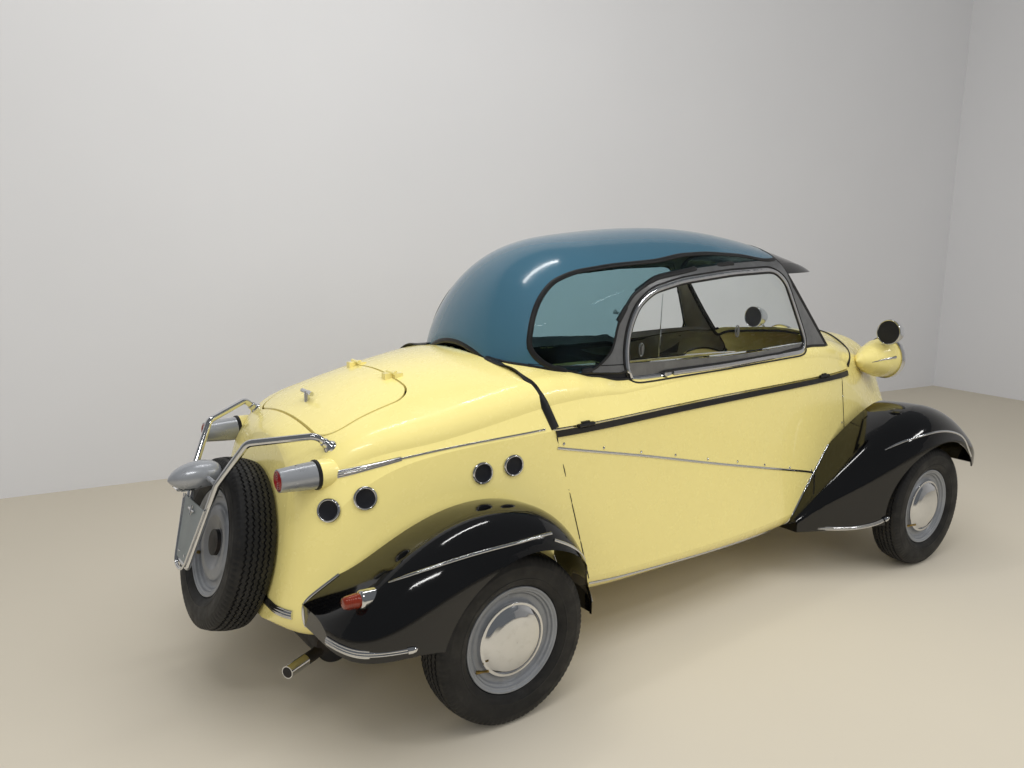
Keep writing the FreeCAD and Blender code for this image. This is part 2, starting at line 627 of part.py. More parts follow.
for side_name, side in SIDES:
    centre_y = side * kingpin_y
    sleeve = Part.makeCylinder(sleeve_radius, 2 * sleeve_half, vec(front_x, centre_y, axle_z - sleeve_half))
    stub_reach = sorted((centre_y, side * (front_half + stub_end)))
    disc = sorted((side * (front_half - plate_in), side * (front_half - plate_in + plate_width)))
    knuckle = sleeve.fuse([across(front_x, axle_z, stub_reach[0], stub_reach[1], stub),
                           across(front_x, axle_z, disc[0], disc[1], plate_radius)])
    bore = Part.makeCylinder(kingpin + size("kingpin_clearance"), 200, vec(front_x, centre_y, axle_z - 100))
    feature("knuckle_" + side_name, knuckle.cut(bore))

# Cabin

waist_low = waist - gap / 2
BULKHEAD = 16
bulkhead_room = side_prism([(tail_x, waist), (tail_x + BULKHEAD, waist), (seam_x(tail_x + BULKHEAD, tail_slope, 0), 0),
                            (seam_x(tail_x, tail_slope, 0), 0)], -FAR, FAR)
feature("rear_bulkhead", body_inner.common(bulkhead_room).common(slab(0, waist_low)))

column_up = vec(-290, 0, 270).normalize()
column_top = vec(640, 0, 690)
column_radius, spigot_radius, spigot_gap = 16, 8, 0.08
column = Part.makeCylinder(column_radius, 700, column_top - column_up * 700, column_up).common(body_inner)
column_bore = Part.makeCylinder(spigot_radius + spigot_gap, 90, column_top - column_up * 90, column_up)
dash = block(820, 850, -500, 500, 470, waist_low - 6).common(body_inner)
feature("dashboard", dash.cut(Part.makeCylinder(column_radius, 700, column_top - column_up * 700, column_up)))
feature("steering_column", column.cut(column_bore))
clamp_at = column_top + column_up * 2
grip = Part.makeCylinder(17, 36, clamp_at, column_up)
bar_at = clamp_at + column_up * 20
bars = across(bar_at.x, bar_at.z, -195, 195, 10)
grips = [across(bar_at.x, bar_at.z, low, low + 95, 14) for low in (-205, 110)]
spigot = Part.makeCylinder(spigot_radius, 82, column_top - column_up * 80, column_up)
feature("handlebar", grip.fuse([bars, spigot] + grips))

soft = size("seat_clearance")
SEATS = (
    # name, x behind the backrest at the cushion's bottom, x of the front edge, half width, bottom, cushion top, top
    ("front", 10, 440, 185, 300, 395, 700),
    ("rear", seam_x(tail_x + BULKHEAD + soft, tail_slope, 330), -150, 205, 330, 420, 695),
)
BACK_THICK = 72
bases = []
for name, x_back, x_front, half, z_low, z_high, z_back in SEATS:
    base = block(x_back + 40, x_front - 20, -half + 20, half - 20, 100, z_low - soft).common(body_inner)
    bases.append(base)
    outline = [(x_back + tail_slope * (z - z_low) + shift, z)
               for z, shift in ((z_low, 0), (z_back, 0), (z_back, BACK_THICK), (z_high, BACK_THICK))]
    pad = side_prism(outline + [(x_front, z_high), (x_front, z_low)], -half, half)
    feature(name + "_seat", pad.makeFillet(18, [e for e in pad.Edges if abs(e.Length - 2 * half) < 1]))
feature("seat_bases", Part.makeCompound(bases))
engine = block(-1010, -670, -170, 170, 200, 560).common(body_inner)
feature("engine", engine)

silencer_radius, silencer_x, silencer_z = 52, -1170, 172
silencer = across(silencer_x, silencer_z, -230, 230, silencer_radius)
straps = [block(silencer_x - 20, silencer_x + 20, y - 12, y + 12, silencer_z, 330) for y in (-130, 130)]
pipes = [tube([vec(silencer_x, side * 190, 160), vec(-1230, side * 230, 158), vec(-1322, side * 285, 162)], 15, 20)
         for side in (-1, 1)]
feature("silencer", silencer.fuse(straps + pipes).cut(body_outer))

# Lamps

HEADLAMP = (
    ("-2.4 * sizes.lamp_radius", "0"),
    ("0", "0"),
    ("0", "sizes.lamp_radius + 4"),
    ("-10", "sizes.lamp_radius + 4"),
    ("-14", "sizes.lamp_radius"),
    ("-0.8 * sizes.lamp_radius", "0.94 * sizes.lamp_radius"),
    ("-1.5 * sizes.lamp_radius", "0.7 * sizes.lamp_radius"),
    ("-2.1 * sizes.lamp_radius", "0.35 * sizes.lamp_radius"),
)
body_solid = doc.addObject("Part::Feature", "body_solid")
body_solid.Shape = body_outer
lamps = []
for side_name, side in SIDES:
    pod = turned("headlamp_pod_" + side_name, HEADLAMP)
    pod.Placement = place(size("lamp_x"), side * size("lamp_y"), size("lamp_z"), vec(1, side * 0.06, 0))
    lamps.append(pod)
keep(cut("headlamps", fuse("headlamp_pods", lamps), body_solid), "headlamps")
tail_lamp_pods = [Part.makeCone(28, 14, 130, vec(-1195, side * 285, 655), vec(-1, 0, 0)) for side in (-1, 1)]
feature("tail_lamps", Part.makeCompound([pod.cut(body_outer) for pod in tail_lamp_pods]))

# Rubber along the waist and over the tail and the nose

stand = size("trim_stand")
body_over = hull(BODY, -stand)
strip = body_over.common(slab(waist_low - size("strip_width"), waist_low)).cut(body_outer)
strip = strip.common(ahead_of(tail_x, waist, tail_slope)).cut(ahead_of(cowl_x - 8, waist, 0))

# Hinges of the canopy, along the waist on the right side


def surface_at(start, end):
    """Where a line from outside first meets the body."""
    inside = body_outer.common(line(start, end))
    return min((vertex.Point for vertex in inside.Vertexes), key=lambda p: (p - start).Length)


hinge_out = 3
hinge_places = [surface_at(vec(x, -FAR, waist), vec(x, 0, waist)) + vec(0, -hinge_out, 0)
                for x in (size("hinge_rear_x"), size("hinge_front_x"))]
hinge_line = (hinge_places[1] - hinge_places[0]).normalize()
hinge_r, hinge_pin = size("hinge_radius"), size("hinge_pin_radius")
hinge_len, leaf = size("hinge_length"), 20
middle_half = hinge_len / 4


def along_hinge(at, low, high, radius):
    return Part.makeCylinder(radius, high - low, at + hinge_line * low, hinge_line)


def hinge_leaf(at, low, high, rise):
    """A tab from the barrel inwards, above or below the axis."""
    box = Part.makeBox(high - low, leaf, abs(rise), vec(low, 0, min(0, rise)))
    box.Placement = FreeCAD.Placement(at, FreeCAD.Rotation(vec(1, 0, 0), hinge_line))
    return box


notches = [along_hinge(at, -hinge_len / 2 - 1, hinge_len / 2 + 1, hinge_r + 1.5) for at in hinge_places]
tub_shell = tub_shell.cut(notches)
skirt = skirt.cut(notches)
strip = strip.cut(notches)
fixed_hinges, moving_hinges = [], []
for at in hinge_places:
    ends = [(-hinge_len / 2, -middle_half - 0.5), (middle_half + 0.5, hinge_len / 2)]
    fixed = along_hinge(at, -hinge_len / 2, hinge_len / 2, hinge_pin)
    for low, high in ends:
        fixed = fixed.fuse([along_hinge(at, low, high, hinge_r), hinge_leaf(at, low, high, -12)])
    fixed_hinges.append(fixed.cut([tub_shell, strip]))
    barrel = along_hinge(at, -middle_half, middle_half, hinge_r).fuse(hinge_leaf(at, -middle_half, middle_half, 10))
    bore = along_hinge(at, -hinge_len, hinge_len, hinge_pin + size("hinge_clearance"))
    moving_hinges.append(barrel.cut(skirt).cut(bore))
feature("tub_shell", tub_shell)
feature("canopy_skirt", skirt)
feature("waist_rubber", strip)
feature("canopy_hinge_pins", Part.makeCompound(fixed_hinges))
feature("canopy_hinge_barrels", Part.makeCompound(moving_hinges))

# Hinges and handle of the tail lid

lid_axis_x = size("lid_front_x") + gap / 2
lid_top = surface_at(vec(lid_axis_x, 0, FAR), vec(lid_axis_x, 0, 0)).z
lid_axis_z = lid_top + 3
LID_HINGES = (-110, 110)
lid_r, lid_pin, lid_leaf = 5, 2, 24
lid_parts, shell_parts = [], []
for y in LID_HINGES:
    surface = surface_at(vec(lid_axis_x, y, FAR), vec(lid_axis_x, y, 0)).z - 6
    lid_parts += [across(lid_axis_x, lid_axis_z, y - 10, y + 10, lid_r),
                  block(lid_axis_x - lid_leaf, lid_axis_x, y - 10, y + 10, surface - 3, lid_axis_z)]
    shell_parts.append(across(lid_axis_x, lid_axis_z, y - 22, y + 22, lid_pin))
    for low in (y - 22, y + 10.5):
        shell_parts += [across(lid_axis_x, lid_axis_z, low, low + 11.5, lid_r),
                        block(lid_axis_x, lid_axis_x + lid_leaf, low, low + 11.5, surface, lid_axis_z)]
lid_bore = across(lid_axis_x, lid_axis_z, -FAR, FAR, lid_pin + size("hinge_clearance"))
feature("tail_lid", tail_lid.fuse(lid_parts).cut(lid_bore))
feature("tail_shell", tail_shell.fuse(shell_parts))
handle_x = -1130
handle_z = surface_at(vec(handle_x, 0, FAR), vec(handle_x, 0, 0)).z
handle = Part.makeCylinder(8, 30, vec(handle_x, 0, handle_z - 4)).fuse(
    across(handle_x, handle_z + 22, -32, 32, 6))
feature("lid_handle", handle.cut(body_outer))

doc.recompute()
failed = [item.Name for item in doc.Objects if "Invalid" in item.State or "Error" in item.State]
broken = [node.Label for node in nodes if node.Shape.isNull() or not node.Shape.isValid() or not node.Shape.Solids]
if failed or broken:
    raise RuntimeError("failed: %s, broken: %s" % (failed, broken))
print("canopy hinge", [tuple(round(c, 3) for c in at) for at in hinge_places])
print("lid hinge", round(lid_axis_x, 3), round(lid_axis_z, 3))
for node in nodes:
    print(node.Label, len(node.Shape.Solids), round(node.Shape.Volume / 1e6, 3))
os.makedirs("parts", exist_ok=True)
for node in nodes:
    node.Shape.exportStep("parts/" + node.Label + ".step")
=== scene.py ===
"""Bubble car: materials, detail pieces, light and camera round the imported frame."""
import math

import bmesh
import bpy
from mathutils import Matrix, Vector
from mathutils.bvhtree import BVHTree


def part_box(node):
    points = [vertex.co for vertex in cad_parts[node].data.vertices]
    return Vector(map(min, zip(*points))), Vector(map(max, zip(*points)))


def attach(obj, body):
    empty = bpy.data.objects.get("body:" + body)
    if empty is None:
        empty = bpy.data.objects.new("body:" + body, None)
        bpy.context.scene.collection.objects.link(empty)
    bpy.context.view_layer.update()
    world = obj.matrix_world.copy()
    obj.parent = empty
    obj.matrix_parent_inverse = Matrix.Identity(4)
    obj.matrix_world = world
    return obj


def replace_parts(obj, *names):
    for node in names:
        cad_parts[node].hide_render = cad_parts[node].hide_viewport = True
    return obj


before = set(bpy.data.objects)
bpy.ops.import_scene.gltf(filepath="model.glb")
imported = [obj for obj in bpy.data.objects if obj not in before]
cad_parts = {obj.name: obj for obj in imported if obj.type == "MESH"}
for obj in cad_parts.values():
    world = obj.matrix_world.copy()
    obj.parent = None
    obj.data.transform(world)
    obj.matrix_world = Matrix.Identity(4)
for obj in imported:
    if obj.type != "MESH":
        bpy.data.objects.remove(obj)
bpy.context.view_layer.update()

MM = 0.001
SIDES = (("right", -1), ("left", 1))


# Colours and materials


def linear(r, g, b):
    """An sRGB colour, given from 0 to 255, as Blender's linear colour."""
    def channel(c):
        c = c / 255
        return c / 12.92 if c <= 0.04045 else ((c + 0.055) / 1.055) ** 2.4
    return (channel(r), channel(g), channel(b), 1)


def scaled(colour, factor):
    return tuple(min(1, c * factor) for c in colour[:3]) + (1,)


def set_sockets(node, **values):
    """Sets a shader node's sockets by name."""
    for name, value in values.items():
        node.inputs[name.replace("_", " ")].default_value = value


def add(tree, kind, **values):
    """A new shader node with its sockets set."""
    node = tree.nodes.new("ShaderNode" + kind)
    set_sockets(node, **values)
    return node


def new_material(name):
    made = bpy.data.materials.new(name)
    made.use_nodes = True
    tree = made.node_tree
    shader = tree.nodes["Principled BSDF"]
    place = tree.nodes.new("ShaderNodeTexCoord").outputs["Object"]
    return made, tree, shader, place


def noise(tree, place, scale, detail=4, rough=0.55):
    node = add(tree, "TexNoise", Scale=scale, Detail=detail, Roughness=rough)
    tree.links.new(place, node.inputs["Vector"])
    return node.outputs["Fac"]


def spread(tree, value, low, high, start=0.3, end=0.7):
    """Maps a noise value to a range."""
    node = add(tree, "MapRange", From_Min=start, From_Max=end, To_Min=low, To_Max=high)
    tree.links.new(value, node.inputs["Value"])
    return node.outputs["Result"]


def blend_colours(tree, value, low, high):
    node = tree.nodes.new("ShaderNodeMix")
    node.data_type = "RGBA"
    inputs = {socket.identifier: socket for socket in node.inputs}
    for name, colour in (("A_Color", low), ("B_Color", high)):
        if isinstance(colour, tuple):
            inputs[name].default_value = colour
        else:
            tree.links.new(colour, inputs[name])
    tree.links.new(value, node.inputs["Factor"])
    return next(socket for socket in node.outputs if socket.identifier == "Result_Color")


def bump(tree, shader, value, strength, distance):
    node = add(tree, "Bump", Strength=strength, Distance=distance)
    tree.links.new(value, node.inputs["Height"])
    tree.links.new(node.outputs["Normal"], shader.inputs["Normal"])


GLOSS_SCALE = 25
COAT_ROUGHNESS = 0.04
PANE_IOR = 1.12


def finish_material(name, colour, rough, metal, coat, mottle, mottle_scale, grain, grain_depth, dirt=0,
                    dirt_colour=None, dirt_scale=9):
    """Paint, metal, rubber or plastic: mottled colour, uneven gloss, fine grain and a little dirt."""
    made, tree, shader, place = new_material(name)
    colour = linear(*colour)
    shade = blend_colours(tree, spread(tree, noise(tree, place, mottle_scale), 0, 1),
                          scaled(colour, 1 - mottle), scaled(colour, 1 + mottle))
    if dirt:
        spots = spread(tree, noise(tree, place, dirt_scale, 8, 0.7), 0, dirt, 0.52, 0.72)
        shade = blend_colours(tree, spots, shade, linear(*dirt_colour))
    tree.links.new(shade, shader.inputs["Base Color"])
    tree.links.new(spread(tree, noise(tree, place, GLOSS_SCALE, 6), rough[0], rough[1]),
                   shader.inputs["Roughness"])
    set_sockets(shader, Metallic=metal, Coat_Weight=coat, Coat_Roughness=COAT_ROUGHNESS)
    if grain_depth:
        bump(tree, shader, noise(tree, place, grain, 3), 0.5, grain_depth)
    return made


def pane_material(name, colour):
    """Clear or tinted moulded pane with faint smudges."""
    made, tree, shader, place = new_material(name)
    shade = blend_colours(tree, spread(tree, noise(tree, place, 6), 0, 1), scaled(colour, 0.97), colour)
    tree.links.new(shade, shader.inputs["Base Color"])
    tree.links.new(spread(tree, noise(tree, place, 14, 8), 0, 0.03, 0.5, 0.8), shader.inputs["Roughness"])
    set_sockets(shader, Transmission_Weight=1, IOR=PANE_IOR, Specular_IOR_Level=1)
    return made


FINISHES = (
    # name, colour, roughness, metal, coat, mottle, its scale, grain, its depth, dirt, its colour, its scale
    ("yellow_paint", (238, 223, 143), (0.22, 0.3), 0, 0.5, 0.015, 1.6, 700, 0.00003, 0.05, (190, 165, 95)),
    ("black_paint", (5, 5, 6), (0.05, 0.1), 0, 0.3, 0.3, 4, 600, 0.00001, 0.04, (40, 38, 34)),
    ("blue_dome", (56, 93, 112), (0.14, 0.2), 0, 0.4, 0.07, 1.4, 500, 0.00002, 0.05, (40, 80, 96)),
    ("chrome", (218, 219, 221), (0.04, 0.14), 1, 0, 0.05, 12, 300, 0.00002, 0.12, (120, 116, 108), 40),
    ("cast_aluminium", (150, 151, 152), (0.28, 0.42), 0.95, 0, 0.12, 18, 900, 0.00015, 0.2, (84, 84, 84), 30),
    ("silver_paint", (164, 167, 172), (0.25, 0.38), 0.55, 0.3, 0.06, 8, 1200, 0.00005, 0.1, (110, 108, 104)),
    ("rubber", (20, 20, 21), (0.38, 0.55), 0, 0, 0.25, 30, 1500, 0.00012, 0.15, (70, 68, 64), 25),
    ("tyre_rubber", (19, 19, 20), (0.5, 0.72), 0, 0, 0.22, 18, 1100, 0.00015, 0.25, (78, 74, 68), 14),
    ("grey_steel", (138, 141, 146), (0.3, 0.45), 0.35, 0.2, 0.08, 14, 900, 0.00008, 0.3, (92, 88, 82), 22),
    ("dark_steel", (46, 46, 48), (0.4, 0.6), 0.6, 0, 0.2, 20, 700, 0.00015, 0.4, (88, 72, 56)),
    ("engine_alloy", (120, 120, 118), (0.4, 0.6), 0.8, 0, 0.15, 16, 600, 0.0003, 0.4, (96, 84, 66)),
    ("plate_grey", (122, 128, 128), (0.35, 0.5), 0, 0, 0.06, 12, 900, 0.00005, 0.15, (90, 92, 92)),
    ("red_lens", (124, 9, 11), (0.12, 0.2), 0, 0.6, 0.2, 40, 260, 0.0004),
    ("orange_lens", (118, 36, 14), (0.12, 0.2), 0, 0.6, 0.2, 40, 260, 0.0004),
    ("brass", (176, 148, 88), (0.25, 0.4), 1, 0, 0.1, 60, 900, 0),
    ("dark_lining", (17, 19, 26), (0.5, 0.7), 0, 0, 0.2, 20, 1200, 0.0002),
)
(YELLOW, BLACK, BLUE, CHROME, ALLOY, SILVER, RUBBER, TYRE_RUBBER, RIM_GREY, DARK_STEEL, ENGINE_ALLOY,
 PLATE_GREY, RED_LENS, ORANGE_LENS, BRASS, DARK) = [finish_material(*row) for row in FINISHES]
CLEAR = pane_material("clear_pane", linear(250, 253, 253))
TINTED = pane_material("tinted_pane", linear(150, 188, 198))
GLASS_LENS = pane_material("lamp_glass", linear(245, 248, 250))


def leather():
    """Navy leather cloth with a fine pebbled grain."""
    made, tree, shader, place = new_material("navy_leather")
    shade = blend_colours(tree, spread(tree, noise(tree, place, 7), 0, 1), linear(17, 21, 36),
                          linear(28, 33, 52))
    tree.links.new(shade, shader.inputs["Base Color"])
    cells = add(tree, "TexVoronoi", Scale=420)
    tree.links.new(place, cells.inputs["Vector"])
    tree.links.new(spread(tree, cells.outputs["Distance"], 0.34, 0.5, 0, 0.8), shader.inputs["Roughness"])
    set_sockets(shader, Sheen_Weight=0.1)
    bump(tree, shader, cells.outputs["Distance"], 0.4, 0.0004)
    return made


NAVY = leather()

NODE_FINISH = (
    # material, starts of the nodes' names
    (YELLOW, ("nose_shell", "tub_shell", "tail_shell", "tail_lid", "canopy_skirt", "dashboard", "headlamps")),
    (BLACK, ("windscreen_visor", "rear_wing", "front_wing")),
    (BLUE, ("canopy_dome",)),
    (CLEAR, ("windscreen", "side_panes")),
    (ALLOY, ("window_frames",)),
    (TYRE_RUBBER, ("tyre", "spare_tyre")),
    (RIM_GREY, ("rim", "spare_rim", "handlebar")),
    (CHROME, ("hubcap", "carrier_bars", "lid_handle")),
    (DARK_STEEL, ("spare_stud", "rear_axle", "front_axle", "knuckle", "steering_column", "silencer")),
    (PLATE_GREY, ("number_plate",)),
    (DARK, ("rear_bulkhead", "seat_bases")),
    (NAVY, ("front_seat", "rear_seat")),
    (ENGINE_ALLOY, ("engine",)),
    (SILVER, ("tail_lamps",)),
    (RUBBER, ("waist_rubber", "canopy_hinge")),
)
for node_name, node_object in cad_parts.items():
    finish = next((made for made, starts in NODE_FINISH if node_name.startswith(starts)), None)
    if finish is None:
        raise RuntimeError("no material for " + node_name)
    node_object.data.materials.clear()
    node_object.data.materials.append(finish)


# Shapes: each maker gives points in metres and faces

UP = Vector((0, 0, 1))
SHARP = 35
CORNER_STEPS = 4
FLOW_STEP = 0.012


def placed(name, data):
    """An object of a mesh, lamp or camera, in the scene."""
    made = bpy.data.objects.new(name, data)
    bpy.context.collection.objects.link(made)
    return made


def settle(name, mesh, finish, body):
    """An object of a mesh with its material, riding on a body."""
    made = placed(name, mesh)
    mesh.materials.clear()
    mesh.materials.append(finish)
    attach(made, body)
    return made


def outward_mesh(name, points, faces):
    """A mesh whose faces look outwards."""
    mesh = bpy.data.meshes.new(name)
    mesh.from_pydata(points, [], faces)
    work = bmesh.new()
    work.from_mesh(mesh)
    bmesh.ops.recalc_face_normals(work, faces=work.faces)
    work.to_mesh(mesh)
    work.free()
    return mesh


def piece(name, parts, finish, body, sharp=SHARP):
    """One object made of several parts, smooth but for its sharp edges, riding on a body."""
    points, faces = [], []
    for part_points, part_faces in parts:
        start = len(points)
        points += [tuple(point) for point in part_points]
        faces += [tuple(start + i for i in face) for face in part_faces]
    mesh = outward_mesh(name, points, faces)
    mesh.shade_smooth()
    mesh.set_sharp_from_angle(angle=math.radians(sharp))
    return settle(name, mesh, finish, body)


def modified(mesh, changes):
    """A mesh as modifiers leave it, given as (kind, settings)."""
    holder = placed("holder", mesh)
    for kind, values in changes:
        change = holder.modifiers.new(kind, kind)
        for key, value in values.items():
            setattr(change, key, value)
    made = bpy.data.meshes.new_from_object(holder.evaluated_get(bpy.context.evaluated_depsgraph_get()))
    bpy.data.objects.remove(holder)
    return made


def slab_faces(count):
    """The faces of a solid between two rings, each of so many points."""
    ends = [tuple(range(count)), tuple(range(2 * count - 1, count - 1, -1))]
    return ends + [(i, (i + 1) % count, count + (i + 1) % count, count + i) for i in range(count)]


def mm(*numbers):
    return Vector(numbers) * MM


def frame_of(axis):
    """Two directions square to an axis."""
    first = axis.cross(UP if abs(axis.z) < 0.9 else Vector((1, 0, 0))).normalized()
    return first, axis.cross(first).normalized()


def lathe(profile, at, axis, steps):
    """Turns a profile of (distance along the axis, radius) in mm about an axis."""
    axis = Vector(axis).normalized()
    first, second = frame_of(axis)
    points, faces, rows = [], [], []
    for along, radius in profile:
        if radius < 0.01:
            rows.append([len(points)])
            points.append(at + axis * along * MM)
            continue
        rows.append(list(range(len(points), len(points) + steps)))
        for i in range(steps):
            turn = math.tau * i / steps
            out = first * math.cos(turn) + second * math.sin(turn)
            points.append(at + axis * along * MM + out * radius * MM)
    for low, high in zip(rows, rows[1:]):
        for i in range(steps):
            j = (i + 1) % steps
            if len(low) > 1 and len(high) > 1:
                faces.append((low[i], low[j], high[j], high[i]))
            elif len(low) > 1:
                faces.append((low[i], low[j], high[0]))
            elif len(high) > 1:
                faces.append((low[0], high[j], high[i]))
    return points, faces


def turned(name, profile, at, axis, finish, steps=48, sharp=SHARP):
    """One piece on the body that is turned about an axis."""
    return piece(name, [lathe(profile, at, axis, steps)], finish, "body", sharp)


def soften(outline, size, closed=True):
    """Rounds the corners of an outline by up to a size."""
    count = len(outline)
    corners = [Vector(point) for point in outline]
    made = []
    for i, corner in enumerate(corners):
        if not closed and i in (0, count - 1):
            made.append(corner)
            continue
        before, after = corners[i - 1], corners[(i + 1) % count]
        back = min(size, (before - corner).length * 0.45)
        on = min(size, (after - corner).length * 0.45)
        start = corner + (before - corner).normalized() * back
        end = corner + (after - corner).normalized() * on
        for k in range(CORNER_STEPS + 1):
            t = k / CORNER_STEPS
            made.append(start * (1 - t) ** 2 + corner * 2 * t * (1 - t) + end * t ** 2)
    return made


def rounded(profile, size):
    """An open profile with its corners rounded."""
    return soften(profile, size, closed=False)


def evenly(path, step, closed=False, passes=3):
    """The same path with points a step apart, rounded a little."""
    points = list(path) + ([path[0]] if closed else [])
    lengths = [(b - a).length for a, b in zip(points, points[1:])]
    total = sum(lengths)
    count = max(2, round(total / step))
    made, run, i = [], 0.0, 0
    for k in range(count if closed else count + 1):
        want = total * k / count
        while i < len(lengths) - 1 and run + lengths[i] < want:
            run += lengths[i]
            i += 1
        made.append(points[i].lerp(points[i + 1], min(1, (want - run) / max(lengths[i], 1e-9))))
    for _ in range(passes):
        was = list(made)
        for k in range(len(was)):
            if closed or 0 < k < len(was) - 1:
                made[k] = (was[k - 1] + was[k] * 2 + was[(k + 1) % len(was)]) / 4
    return made


def flow(points):
    """A smooth run through points given in mm."""
    given = [mm(*point) for point in points]
    ends = [given[0] * 2 - given[1]] + given + [given[-1] * 2 - given[-2]]
    made = []
    for a, b, c, d in zip(ends, ends[1:], ends[2:], ends[3:]):
        count = max(1, round((c - b).length / FLOW_STEP))
        for k in range(count):
            t = k / count
            made.append((b * 2 + (c - a) * t + (a * 2 - b * 5 + c * 4 - d) * t * t
                         + (b * 3 - a - c * 3 + d) * t * t * t) / 2)
    return made + [given[-1]]


def mirrored(points, side):
    """Points given for the right side, moved to a side."""
    return [(x, -side * y, z) for x, y, z in points]


def at_side(place, side):
    """A place in mm given for the right side, moved to a side, in metres."""
    return mm(*mirrored([place], side)[0])


def sweep(path, section, ups=None, closed=False, narrow=None):
    """Carries a section of (across, up) pairs in mm along a path."""
    count, ring = len(path), len(section)
    points, faces = [], []
    hold = None
    for i, at in enumerate(path):
        before = path[i - 1] if i or closed else at
        after = path[(i + 1) % count] if i < count - 1 or closed else at
        along = (after - before).normalized()
        if ups:
            hold = ups[i]
        elif hold is None:
            hold = UP if abs(along.z) < 0.9 else Vector((1, 0, 0))
        up = (hold - along * hold.dot(along)).normalized()
        hold = up
        across = along.cross(up)
        size = MM * (narrow(i / (count - 1)) if narrow else 1)
        points += [at + across * a * size + up * b * size for a, b in section]
    for i in range(count if closed else count - 1):
        j = (i + 1) % count
        faces += [(i * ring + s, i * ring + (s + 1) % ring, j * ring + (s + 1) % ring, j * ring + s)
                  for s in range(ring)]
    if not closed:
        faces += [tuple(range(ring)), tuple(range((count - 1) * ring, count * ring))]
    return points, faces


SEATED = 0.6
ARC_STEPS = 8
FLUTES = 3


def round_bar(radius, steps=12):
    turns = [math.tau * k / steps for k in range(steps)]
    return [(radius * math.cos(turn), radius * math.sin(turn)) for turn in turns]


def half_round(width, height):
    """A crowned strip that sits a little in its surface."""
    turns = [math.pi * k / ARC_STEPS for k in range(ARC_STEPS + 1)]
    arc = [(width / 2 * math.cos(turn), height * math.sin(turn)) for turn in turns]
    return [(width / 2, -SEATED)] + arc + [(-width / 2, -SEATED)]


def fluted(width, height):
    """A crowned strip with flutes along it."""
    top = []
    for k in range(FLUTES * 6 + 1):
        t = k / (FLUTES * 6)
        crown = math.sin(math.pi * (0.08 + 0.84 * t)) ** 0.6
        wave = 0.72 + 0.28 * abs(math.cos(math.pi * FLUTES * t))
        top.append((width * (0.5 - t), height * crown * wave))
    return [(width / 2, -SEATED)] + top + [(-width / 2, -SEATED)]


def surface(*names):
    points, faces = [], []
    for name in names:
        mesh = name.data if hasattr(name, "data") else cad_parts[name].data
        start = len(points)
        points += [v.co.copy() for v in mesh.vertices]
        faces += [tuple(start + i for i in face.vertices) for face in mesh.polygons]
    return BVHTree.FromPolygons(points, faces)


def smoothed(ups, closed, rounds):
    """Directions along a path, averaged with their neighbours."""
    for _ in range(rounds):
        was = list(ups)
        for k in range(len(was)):
            if closed or 0 < k < len(was) - 1:
                ups[k] = (was[k - 1] + was[k] * 2 + was[(k + 1) % len(was)]).normalized()
    return ups


def lay(skin, path, closed=False):
    """Moves a path on to a surface, and gives the directions that point out of it."""
    places, ups = zip(*[skin.find_nearest(point)[:2] for point in path])
    return list(places), smoothed(list(ups), closed, 2)


def outer_normals(skin, path, closed, outward, rounds=10):
    """Smoothed directions out of a surface, taken from outside it."""
    ups = [skin.find_nearest(point + outward(point) * 0.02)[1] for point in path]
    return smoothed(ups, closed, rounds)


def on_surface(skin, path, section, closed=False, narrow=None):
    places, ups = lay(skin, path, closed)
    return sweep(places, section, ups, closed, narrow)


WELD = 0.00001
LEAST_PATH = 0.05
LEAST_ANGLE = math.radians(38)
OUTER_LEAST, INNER_MOST = 0.35, 0.55
CONTACT = 0.0025


def welded(source):
    """The mesh of a node or an object, with its doubled corners joined."""
    work = bmesh.new()
    work.from_mesh(source.data if hasattr(source, "data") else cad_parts[source].data)
    bmesh.ops.remove_doubles(work, verts=work.verts, dist=WELD)
    work.verts.ensure_lookup_table()
    return work


def walk_edges(work, near, least):
    """Chains joined corners into paths."""
    used, paths = set(), []
    starts = sorted(near, key=lambda i: (len(near[i]) != 1, i))
    for start in starts:
        walk, here = [start], start
        while True:
            on = [i for i in near[here] if (min(here, i), max(here, i)) not in used]
            if not on:
                break
            step = on[0]
            if len(on) > 1 and len(walk) > 1:
                ahead = (work.verts[here].co - work.verts[walk[-2]].co).normalized()
                step = max(on, key=lambda i: (work.verts[i].co - work.verts[here].co).normalized().dot(ahead))
            used.add((min(here, step), max(here, step)))
            walk.append(step)
            here = step
        path = [work.verts[i].co.copy() for i in walk]
        length = sum((b - a).length for a, b in zip(path, path[1:]))
        if length > least:
            closed = (path[0] - path[-1]).length < 0.002
            paths.append((path[:-1] if closed else path, closed))
    return paths


def chosen_paths(work, choose, least=LEAST_PATH):
    """The edges between two faces that a test picks, chained into paths."""
    joined = {}
    for edge in work.edges:
        if len(edge.link_faces) == 2 and choose(edge.link_faces, (edge.verts[0].co + edge.verts[1].co) / 2):
            for a, b in (edge.verts, reversed(edge.verts)):
                joined.setdefault(a.index, []).append(b.index)
    paths = walk_edges(work, joined, least)
    work.free()
    return paths


def rim_paths(source, outward, keep=None, least=LEAST_PATH):
    """The edges where the outside of a node or an object meets its rim, as paths."""
    def choose(faces, middle):
        one, two = (face.normal for face in faces)
        inner, outer = sorted((one.dot(outward(middle)), two.dot(outward(middle))))
        return (one.angle(two, 0) >= LEAST_ANGLE and outer >= OUTER_LEAST and inner <= INNER_MOST
                and (keep is None or keep(middle)))

    return chosen_paths(welded(source), choose, least)


